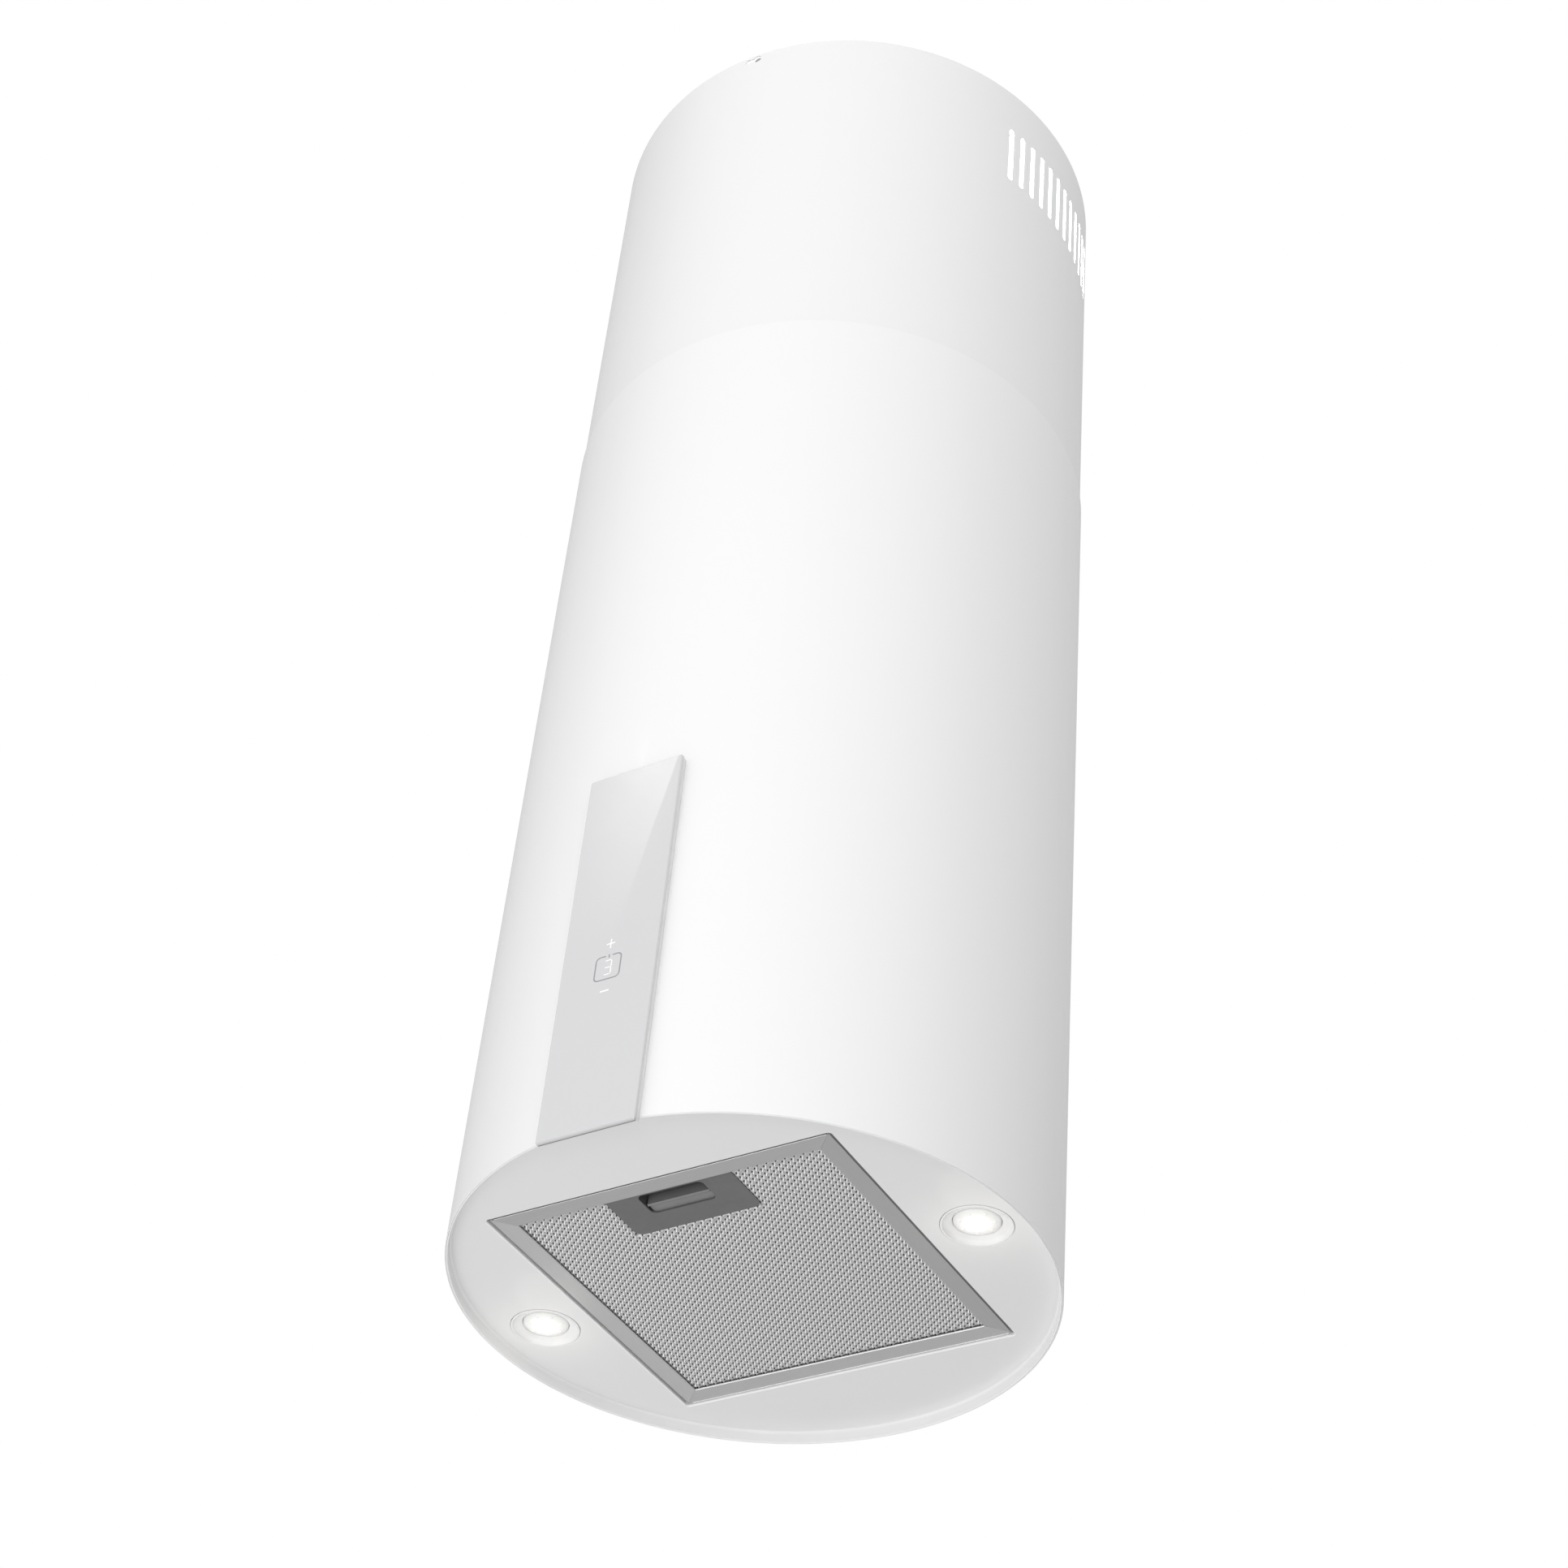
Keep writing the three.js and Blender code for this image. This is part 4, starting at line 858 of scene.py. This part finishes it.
def strip_profile(step):
    """Section of a frame strip: (distance in from the outer edge, height). A channel with a rolled lip.

    The outer edge is set back by a step, where the strip has one.
    """
    low, top = FILTER_SPAN
    skin = STRIP_SKIN
    width = FILTER_STRIP
    outline = [(width - 0.5, low), (width - 0.12, low + 0.15), (width, low + 0.45), (width - 0.1, low + 0.8),
               (width - 0.5, low + 0.85), (width - 1.0, low + skin), (3.6, low + skin), (2.7, low + 1.6),
               (skin, low + 1.6), (skin, top - 1.6), (1.6, top - skin), (width, top - skin), (width, top),
               (1.2, top), (0.35, top - 0.35), (0.0, top - 1.2)]
    if step:
        return outline + [(0.0, low + STEP_RISE + 0.3), (0.3, low + STEP_RISE), (step, low + STEP_RISE),
                          (step + 0.1, low + 0.15), (step + 0.25, low)]
    return outline + [(0.0, low + 0.8), (0.25, low + 0.2), (0.8, low)]


def make_filter_frame():
    """Four strips that meet in mitres. The front and rear ones run along X."""
    for name, (axis, side) in STRIPS.items():
        loops = []
        for end in (-1, 1):
            loop = []
            for inward, height in strip_profile(STRIP_STEPS[name]):
                across = side * (FILTER_HALF - inward)
                along = end * (FILTER_HALF - inward - STRIP_GAP)
                loop.append((along, across, height) if axis == "x" else (across, along, height))
            loops.append(loop)
        replaced = ["filter_frame"] if name == "front" else []
        strip = new_piece(f"filter_strip_{name}", loft(loops), STRIP_FINISHES_LIT_BY_SIDE[name],
                          "filter", replaced)
        smooth(strip, 14)


def make_filter_gap_shade():
    """A near-black strip under each strip's outer edge, where the strip is stepped: painted shade for the
    gap between the frame and the plate.
    """
    height = FILTER_SPAN[0] + STEP_RISE
    along = (3.0 - FILTER_HALF, FILTER_HALF - 3.0)
    gap_shades = []
    for name, (axis, side) in STRIPS.items():
        if STRIP_STEPS[name]:
            inner = FILTER_HALF - STRIP_STEPS[name] + 0.02
            across = sorted((side * (FILTER_HALF - 0.35), side * inner))
            x, y = (along, across) if axis == "x" else (across, along)
            gap_shades.append(block(x, y, (height - 0.35, height + 0.02)))
    new_piece("filter_gap_shade", join_parts(*gap_shades), GAP_SHADE_PLASTIC, "filter")


def make_filter_beads():
    """Bright rolled edges: outside the front and rear strips, and inside the rear one."""
    low = FILTER_SPAN[0]
    inner = FILTER_HALF - FILTER_STRIP
    front = rod(-FILTER_HALF + STRIP_STEPS["front"] + 0.12, low + 0.36, 0.24)
    lip = rod(inner + 0.45, low + 0.4, 0.6)
    rear = rod(FILTER_HALF + 0.2, low + 0.35, 0.4)
    beads = join_parts(along_x(front, BEAD_HALF), along_x(lip, inner), along_x(rear, BEAD_HALF))
    new_piece("filter_edge_bead", beads, BURNISHED, "filter")


MESH_CELL = (3.2, 4.6)  # one slit in each cell, with every other column shifted by half a cell
MESH_SKEW = 0.1  # how far a cell's outline strays from a rectangle
MESH_LEAN = math.radians(33)
MESH_SHEET = 0.5
MESH_LIFT = 0.22  # of a cell's outline, halfway along its short sides
PRESSED_DROP = 0.25  # of the knuckles that something holds flat
MESH_REACH = 113.0
MESH_NOTCH = (25.9, -78.0)
CLIMB = 1.6  # width of the slope up to the handle's plate

HANDLE_X = 45.0
HANDLE_Y = (-107.05, -67.3)
HANDLE_H = (11.5, 12.7)
POCKET_X = 23.2
POCKET_Y = (-105.5, -85.0)
FLOOR_H = (18.8, 20.0)
FRONT_WALL_TOP = 20.2
ROOF_H = (23.8, 25.0)
WALL = 1.2
SEAT_Y = (-71.7, -70.5)  # the wall that the springs push against
SEAT_LOW = 19.2

BAR_FRONT = -94.0
TONGUE_H = (20.5, 22.3)
SPRING_X = 20.7
SPRING_H = 21.6
SPRING_Y = (-87.4, -72.0)
SPRING_TURNS = 6
SPRING_R = 1.1
WIRE_R = 0.28
PIN_R = 0.6


def leaning_oval(middle, half_across, half_along, shift, steps):
    """Points of an oval that leans the way the slits in the sheet do."""
    c, s = math.cos(MESH_LEAN), math.sin(MESH_LEAN)
    points = []
    for k in range(steps):
        t = 2 * math.pi * (k + 0.5) / steps
        across = middle + half_across * math.cos(t)
        along = shift + half_along * math.sin(t)
        points.append((across * c + along * s, across * s - along * c))
    return points


def mesh_cell(scale, drop):
    """One cell of pierced sheet: its outline, a slit, and beside it the knuckle pushed out downward."""
    half_x, half_y = (size / 2 for size in MESH_CELL)
    wide, narrow, skew = half_x + MESH_SKEW, half_x - MESH_SKEW, MESH_SKEW
    outline = [(narrow, 0.0), (wide, half_y), (0.0, half_y + skew), (-wide, half_y),
               (-narrow, 0.0), (-wide, -half_y), (0.0, -half_y + skew), (wide, -half_y)]
    lift = [0.0, 0.0, MESH_LIFT, 0.0] * 2
    slit = leaning_oval(-0.78, 0.48, 1.3, 0.0, 6)
    foot = leaning_oval(0.46, 0.72, 1.15, 0.0, 8)
    waist = leaning_oval(0.44, 0.68, 0.74, -0.1, 8)
    crown = leaning_oval(0.42, 0.52, 0.3, -0.18, 8)
    levels = [(outline, lift), (slit, 0.0), (foot, 0.0), (waist, -0.55 * drop), (crown, -drop),
              (outline, [h + MESH_SHEET for h in lift]), (slit, MESH_SHEET)]
    points = []
    starts = []
    for loop, height in levels:
        starts.append(len(points))
        heights = height if isinstance(height, list) else [height] * len(loop)
        points += [(x * scale, y * scale, h) for (x, y), h in zip(loop, heights)]

    under = [[Vector((*p, 0)) for p in loop] for loop in (outline, slit, foot)]
    faces = [tuple(t) for t in tessellate_polygon(under)]
    over = starts[5]
    faces += [tuple(over + i for i in t) for t in tessellate_polygon(under[:2])]
    for a, b in ((2, 3), (3, 4), (1, 6)):
        faces += quads((starts[a], starts[b]), len(levels[a][0]))
    faces.append(tuple(range(starts[4], starts[5])))
    rim = [(i, (i + 1) % len(outline)) for i in range(len(outline))]
    return points, faces, rim, over


def climb(x, y):
    """How far up the outer sheet is pressed at a point, to pass over the handle's plate: 0 to 1."""
    outside = max(abs(x) - HANDLE_X, y - HANDLE_Y[1]) + CLIMB / 2
    return min(1.0, max(0.0, 1.0 - outside / CLIMB))


def pierced_sheet(height, scale, drop, rise):
    """A sheet of such cells, with the notch that leaves room for the latch housing.

    Edges that two cells share cancel out, and the rest are closed with a face across the thickness.
    """
    cell_points, cell_faces, rim, over = mesh_cell(scale, drop)
    pressed_points = mesh_cell(scale, PRESSED_DROP)[0]
    step_x, step_y = MESH_CELL[0] * scale, MESH_CELL[1] * scale
    points, faces = [], []
    open_edges = {}
    columns = int(MESH_REACH / step_x)
    rows = int(MESH_REACH / step_y) + 1
    for column in range(-columns, columns + 1):
        for row in range(-rows, rows + 1):
            x = column * step_x
            y = (row + (column % 2) / 2) * step_y
            beside = abs(x) - step_x / 2
            if abs(y) > MESH_REACH or (beside < MESH_NOTCH[0] and y - step_y / 2 < MESH_NOTCH[1]):
                continue
            base = len(points)
            above_handle = beside < HANDLE_X + 0.3 and y - step_y / 2 < HANDLE_Y[1] + 0.3
            at_strip = max(abs(x), abs(y)) > FILTER_HALF - FILTER_STRIP - 2.2
            shape = pressed_points if above_handle or at_strip else cell_points
            points += [(x + px, y + py, height + pz + rise * climb(x + px, y + py)) for px, py, pz in shape]
            faces += [tuple(base + i for i in face) for face in cell_faces]
            for a, b in rim:
                ends = points[base + a], points[base + b]
                key = tuple(round(ends[0][axis] + ends[1][axis], 3) for axis in (0, 1))
                if key in open_edges:
                    del open_edges[key]
                else:
                    open_edges[key] = (base + a, base + b, base + over + b, base + over + a)
    return points, faces + list(open_edges.values())


def make_filter_mesh():
    """Three layers of sheet. The outer one is fine and bright, with painted glints, and the ones above it
    are coarser. The core one is painted dark, as painted shade inside the filter.
    """
    for layer, finish, shape in (("lower", MESH, (11.5, 1.0, 1.5, 1.5)),
                                 ("core", MESH_SHADED_CORE, (15.0, 2.0, 0.9, 0.0)),
                                 ("upper", MESH_UPPER, (18.2, 1.7, 0.9, 0.0))):
        sheet = new_piece(f"expanded_mesh_{layer}", pierced_sheet(*shape), finish, "filter",
                          [f"filter_mesh_{layer}"])
        smooth(sheet, 62)


def handle_plate():
    """The flat plate, with the opening of the pocket in it."""
    front = HANDLE_Y[0]
    outline = rounded_rect(-HANDLE_X, HANDLE_X, front, HANDLE_Y[1], 5.7, 8)
    outline = [(x, y) for x, y in outline if y > front + 6] + [(-HANDLE_X, front), (HANDLE_X, front)]
    pocket = rounded_rect(-POCKET_X, POCKET_X, *POCKET_Y, 4.0, 8)
    faces = [flat_region(at_height(outline, h), at_height(pocket, h)) for h in HANDLE_H]
    sides = [loft([at_height(loop, h) for h in HANDLE_H], False, False) for loop in (outline, pocket)]
    return join_parts(*faces, *sides)


def pocket_walls():
    """The walls, roof and floor of the finger pocket, and the wall that the springs push against."""
    front, back = POCKET_Y
    wall_front = front - WALL
    wall_low, roof = HANDLE_H[0] + 0.5, ROOF_H[1]
    outer = POCKET_X + WALL
    walls = [block(sorted((s * POCKET_X, s * outer)), (wall_front, back), (wall_low, roof)) for s in (-1, 1)]
    walls.append(block((-outer, outer), (wall_front, front), (wall_low, FRONT_WALL_TOP)))
    walls.append(block((-outer, outer), (wall_front, SEAT_Y[1]), ROOF_H))
    walls.append(block((-outer, outer), SEAT_Y, (SEAT_LOW, roof)))
    edge = POCKET_X + 0.3
    walls.append(block((-edge, edge), (wall_front + 0.3, BAR_FRONT - 0.25), FLOOR_H))
    for s in (-1, 1):
        low, high = HANDLE_H[0] + 0.7, FLOOR_H[1]
        wedge = [(s * edge, low), (s * POCKET_X, low), (s * (POCKET_X - 2.2), high), (s * edge, high)]
        walls.append(along_y(wedge, (front - 0.3, BAR_FRONT - 1.0)))
    return walls


def make_handle():
    """The grey plate with its finger pocket, which is open at the back where the latch bar slides."""
    handle = new_piece("filter_handle_moulding", handle_plate(), GREY_PLASTIC, "filter",
                       ["filter_handle"], COARSE_WELD)
    boolean(handle, pocket_walls(), "UNION")
    # Faces above the plate, inside the pocket, take the far darker grey: painted shade in the recess.
    handle.data.materials.append(POCKET_SHADE_PLASTIC)
    for face in handle.data.polygons:
        if face.center.z > RIM_Z + (HANDLE_H[1] + 0.2) * MM:
            face.material_index = 1
    smooth(handle)
    soften(handle, 0.35, 3)


def make_latch():
    """The bar that a finger pulls back, with the tongue that it draws out of the opening's edge."""
    half = POCKET_X - 1.0
    section = [(-83.5, 20.1), (-83.5, 13.3), (-83.8, 12.86), (-90.6, 13.3), (-91.6, 13.1), (-92.4, 12.3),
               (-93.0, 12.1), (BAR_FRONT, 12.7), (BAR_FRONT, 20.1)]
    latch = new_piece("filter_latch_bar", along_x(section, half), LATCH_PLASTIC, "latch",
                      ["filter_latch"])
    parts = []
    for s in (-1, 1):
        arm = sorted((s * (half - 3), s * half))
        parts.append(block(arm, (BAR_FRONT, BAR_FRONT + 1.0), (16.0, 23.2)))
        parts.append(block(arm, (-107.0, BAR_FRONT + 0.5), TONGUE_H))
        pin = [(s * SPRING_X + across, h) for h, across in arc(SPRING_H, 0, PIN_R, 0, 330, 11)]
        parts.append(along_y(pin, (-93.4, -78.0)))
    parts.append(block((-half, half), (-122.5, -106.0), TONGUE_H))
    boolean(latch, parts, "UNION")
    smooth(latch)
    soften(latch, 0.3, 3)


def coil(x):
    """A round-wire compression spring along Y."""
    start, end = SPRING_Y
    steps = SPRING_TURNS * 20
    loops = []
    for k in range(steps + 1):
        t = k / steps
        turn = 2 * math.pi * SPRING_TURNS * t
        out = Vector((math.cos(turn), 0, math.sin(turn)))
        centre = Vector((x, start + (end - start) * t, SPRING_H)) + out * SPRING_R
        angles = [2 * math.pi * j / 8 for j in range(8)]
        loops.append([tuple(centre + out * (WIRE_R * math.cos(a)) + Vector((0, WIRE_R * math.sin(a), 0)))
                      for a in angles])
    return loft(loops)


def make_springs():
    """The two springs behind the latch posts."""
    for side, x in (("left", -SPRING_X), ("right", SPRING_X)):
        new_piece(f"latch_coil_{side}", coil(x), STEEL, "filter",
                  [f"latch_spring_{side}"], FINE_WELD)


# -------- carried-over CAD nodes

CORNERS = ("front_left", "front_right", "rear_right", "rear_left")
CAD_FINISHES = (
    (WHITE_PLASTIC, ("air_diverter", "panel_carrier", "motor_capacitor", "lamp_driver", "terminal_block")),
    (GALVANISED, ("ceiling_bracket", "upper_frame_brace", "lower_frame_brace", "blower_box", "motor_bracket",
                  *(f"{level}_upright_{corner}" for corner in CORNERS for level in ("upper", "lower")))),
    (STEEL, ("sleeve_screw_front", "sleeve_screw_rear", "motor_shaft", "flap_pin", "filter_hook_left",
             "filter_hook_right", *(f"height_bolt_{corner}" for corner in CORNERS))),
    (BLACK_PLASTIC, ("blower_housing_left", "blower_housing_right", "outlet_collar", "flap_front",
                     "flap_rear", "digit_display", "electronics_box", "electronics_lid", "cable_gland")),
    (GREY_PLASTIC, ("impeller",)),
    (MOTOR, ("motor",)),
    (BOARD, ("touch_board",)),
)


def finish_cad_nodes():
    """Better materials and slightly rounded edges for the CAD nodes that stay."""
    for material, names in CAD_FINISHES:
        for name in names:
            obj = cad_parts[name]
            for slot in obj.material_slots:
                slot.material = material
            weld = obj.modifiers.new("weld", "WELD")
            weld.merge_threshold = WELD
            soften(obj, 0.3, 2)


# -------- studio

CAMERA_AT = (0.91562, -1.41100, -2.06912)
CAMERA_AZIMUTH = math.radians(33.43)
CAMERA_ELEVATION = math.radians(-40.66)
CAMERA_ROLL = math.radians(5.898)
CAMERA_LENS = 70.90
SENSOR = 36.0


def make_camera():
    data = bpy.data.cameras.new("camera")
    data.lens = CAMERA_LENS
    data.sensor_width = SENSOR
    data.clip_start, data.clip_end = 0.02, 100.0
    camera = link_object("camera", data)
    a, e, r = CAMERA_AZIMUTH, CAMERA_ELEVATION, CAMERA_ROLL
    back = Vector((math.sin(a) * math.cos(e), -math.cos(a) * math.cos(e), math.sin(e)))
    right = Vector((math.cos(a), math.sin(a), 0))
    up = back.cross(right)
    right, up = math.cos(r) * right + math.sin(r) * up, -math.sin(r) * right + math.cos(r) * up
    turn = Matrix((right, up, back)).transposed()
    camera.matrix_world = Matrix.Translation(CAMERA_AT) @ turn.to_4x4()
    bpy.context.scene.camera = camera


SKY_AZIMUTH = 13.43  # of its brightest side, in degrees from the front towards the right
SKY_DIM, SKY_BRIGHT = 0.60, 1.49
FLOOR_HALF = 8.0
FLOOR_Z = -2.6
CARD_Y = -2.0
CARD_CORNERS = ((-1.27, 1.215), (-1.353, 0.844), (-1.40, 0.62), (-1.75, 0.62), (-1.75, 1.215))  # (x, z)
CARD_GLOW = 2.6
CARD_FADE_X = (-1.46, -1.27)
CARD_FADE_Z = (0.82, 1.16)
FLAG_AZIMUTH = 118.0  # degrees from the front towards the right
FLAG_DISTANCE = 1.0
FLAG_HALF = 0.75
FLAG_SPAN = (-2.2, -1.25)
FLOOR_LIGHT = ((-0.4, -0.6, -2.55), (-0.4, -0.6, 0))  # each light: where it is, and where it is aimed
LOW_KEY = ((0.92, -2.16, -1.9), (0, 0, -1.04))
LAMP_GLOW_H = -18.0  # millimetres
VENT_LIGHT_X = 0.15
VENT_LIGHT_Z = -0.2


def towards(azimuth):
    """A level direction, from degrees between the front and the right."""
    turn = math.radians(azimuth)
    return Vector((math.sin(turn), -math.cos(turn), 0.0))


def make_world():
    """White to the camera. The light is softer, and strongest from the front, a little to the right."""
    world = bpy.data.worlds.new("studio")
    bpy.context.scene.world = world
    tree = empty_tree(world)
    output, mix, path, coords, facing = (shader_node(tree, kind) for kind in (
        "OutputWorld", "MixShader", "LightPath", "TexCoord", "VectorMath"))
    white, soft = (shader_node(tree, "Background", Color=(1, 1, 1, 1)) for _ in range(2))
    facing.operation = "DOT_PRODUCT"
    facing.inputs[1].default_value = towards(SKY_AZIMUTH)
    tree.links.new(coords.outputs["Generated"], facing.inputs[0])
    brightness = range_node(tree, facing.outputs["Value"], 0.0, 1.0, SKY_DIM, SKY_BRIGHT)
    tree.links.new(brightness, soft.inputs["Strength"])
    tree.links.new(path.outputs["Is Camera Ray"], mix.inputs["Fac"])
    tree.links.new(soft.outputs["Background"], mix.inputs[1])
    tree.links.new(white.outputs["Background"], mix.inputs[2])
    tree.links.new(mix.outputs["Shader"], output.inputs["Surface"])


def stage_sheet(name, corners, material, seen):
    """A flat sheet of the studio, which isn't part of the hood."""
    mesh = bpy.data.meshes.new(name)
    mesh.from_pydata(corners, [], [tuple(range(len(corners)))])
    mesh.materials.append(material)
    sheet = link_object(name, mesh)
    sheet.visible_camera = seen


def make_floor():
    """A plain pale floor, well below the hood."""
    finish = Finish("floor", Roughness=0.7)
    finish.colours(finish.noise(2.0, 2), grey(0.80), grey(0.82))
    corners = [(x * FLOOR_HALF, y * FLOOR_HALF, FLOOR_Z) for x, y in ((-1, -1), (1, -1), (1, 1), (-1, 1))]
    stage_sheet("floor", corners, finish.material, True)


def card_finish():
    """Light that grows towards the card's upper right, on a sheet that lets other light through."""
    material = bpy.data.materials.new("card")
    tree = empty_tree(material)
    output, glow, clear, both, coords, split, product = (shader_node(tree, kind) for kind in (
        "OutputMaterial", "Emission", "BsdfTransparent", "AddShader", "TexCoord", "SeparateXYZ", "Math"))
    product.operation = "MULTIPLY"
    tree.links.new(coords.outputs["Object"], split.inputs[0])
    tree.links.new(range_node(tree, split.outputs["X"], *CARD_FADE_X, 0.0, CARD_GLOW), product.inputs[0])
    tree.links.new(range_node(tree, split.outputs["Z"], *CARD_FADE_Z, 0.0, 1.0), product.inputs[1])
    tree.links.new(product.outputs[0], glow.inputs["Strength"])
    tree.links.new(glow.outputs[0], both.inputs[0])
    tree.links.new(clear.outputs[0], both.inputs[1])
    tree.links.new(both.outputs[0], output.inputs["Surface"])
    return material


def make_card():
    """A soft box in front of the panel, whose slanted edge shows in the glass."""
    stage_sheet("card", [(x, CARD_Y, z) for x, z in CARD_CORNERS], card_finish(), False)


def make_flag():
    """A dark cloth to the right of the hood, low down, which shades that side towards the rim."""
    cloth = Finish("flag")
    cloth.colours(cloth.noise(300.0, 2), grey(0.02), grey(0.04))
    cloth.roughness(cloth.noise(200.0, 2), 0.8, 0.95)
    middle = towards(FLAG_AZIMUTH) * FLAG_DISTANCE
    reach = towards(FLAG_AZIMUTH + 90) * FLAG_HALF
    low, high = (Vector((0, 0, level)) for level in FLAG_SPAN)
    corners = [middle - reach + low, middle + reach + low, middle + reach + high, middle - reach + high]
    stage_sheet("flag", corners, cloth.material, False)


def area_light(name, at, aim, size, power, colour=(1, 1, 1)):
    """A round light that shines from one point towards another."""
    data = bpy.data.lights.new(name, "AREA")
    data.shape = "DISK"
    data.size = size
    data.energy = power
    data.color = colour
    light = link_object(name, data)
    light.location = at
    light.rotation_mode = "QUATERNION"
    light.rotation_quaternion = (Vector(aim) - Vector(at)).to_track_quat("-Z", "Y")


def make_lights():
    """The glow of the two lamps, light from the floor and the low front, and light behind the vents."""
    for x in (-LAMP_X, LAMP_X):
        at = place((x, 0, LAMP_GLOW_H))
        area_light("lamp_glow", at, at + Vector((0, 0, 1)), 0.05, 0.0028, (1.0, 0.97, 0.90))
    area_light("floor_bounce", *FLOOR_LIGHT, 2.5, 9.2)
    area_light("low_key", *LOW_KEY, 0.5, 5.0)
    for x in (-VENT_LIGHT_X, VENT_LIGHT_X):
        area_light("sleeve_fill", (x, 0, VENT_LIGHT_Z), (x * 1.2, 0, 0), 0.05, 3.0)


make_camera()
make_sleeves()
make_bottom_plate()
make_hem()
make_glass()
make_tape()
make_icons()
make_ring()
make_lamps()
make_filter_frame()
make_filter_gap_shade()
make_filter_beads()
make_filter_mesh()
make_handle()
make_latch()
make_springs()
finish_cad_nodes()
make_world()
make_floor()
make_card()
make_flag()
make_lights()
bpy.context.scene.view_settings.view_transform = "Standard"
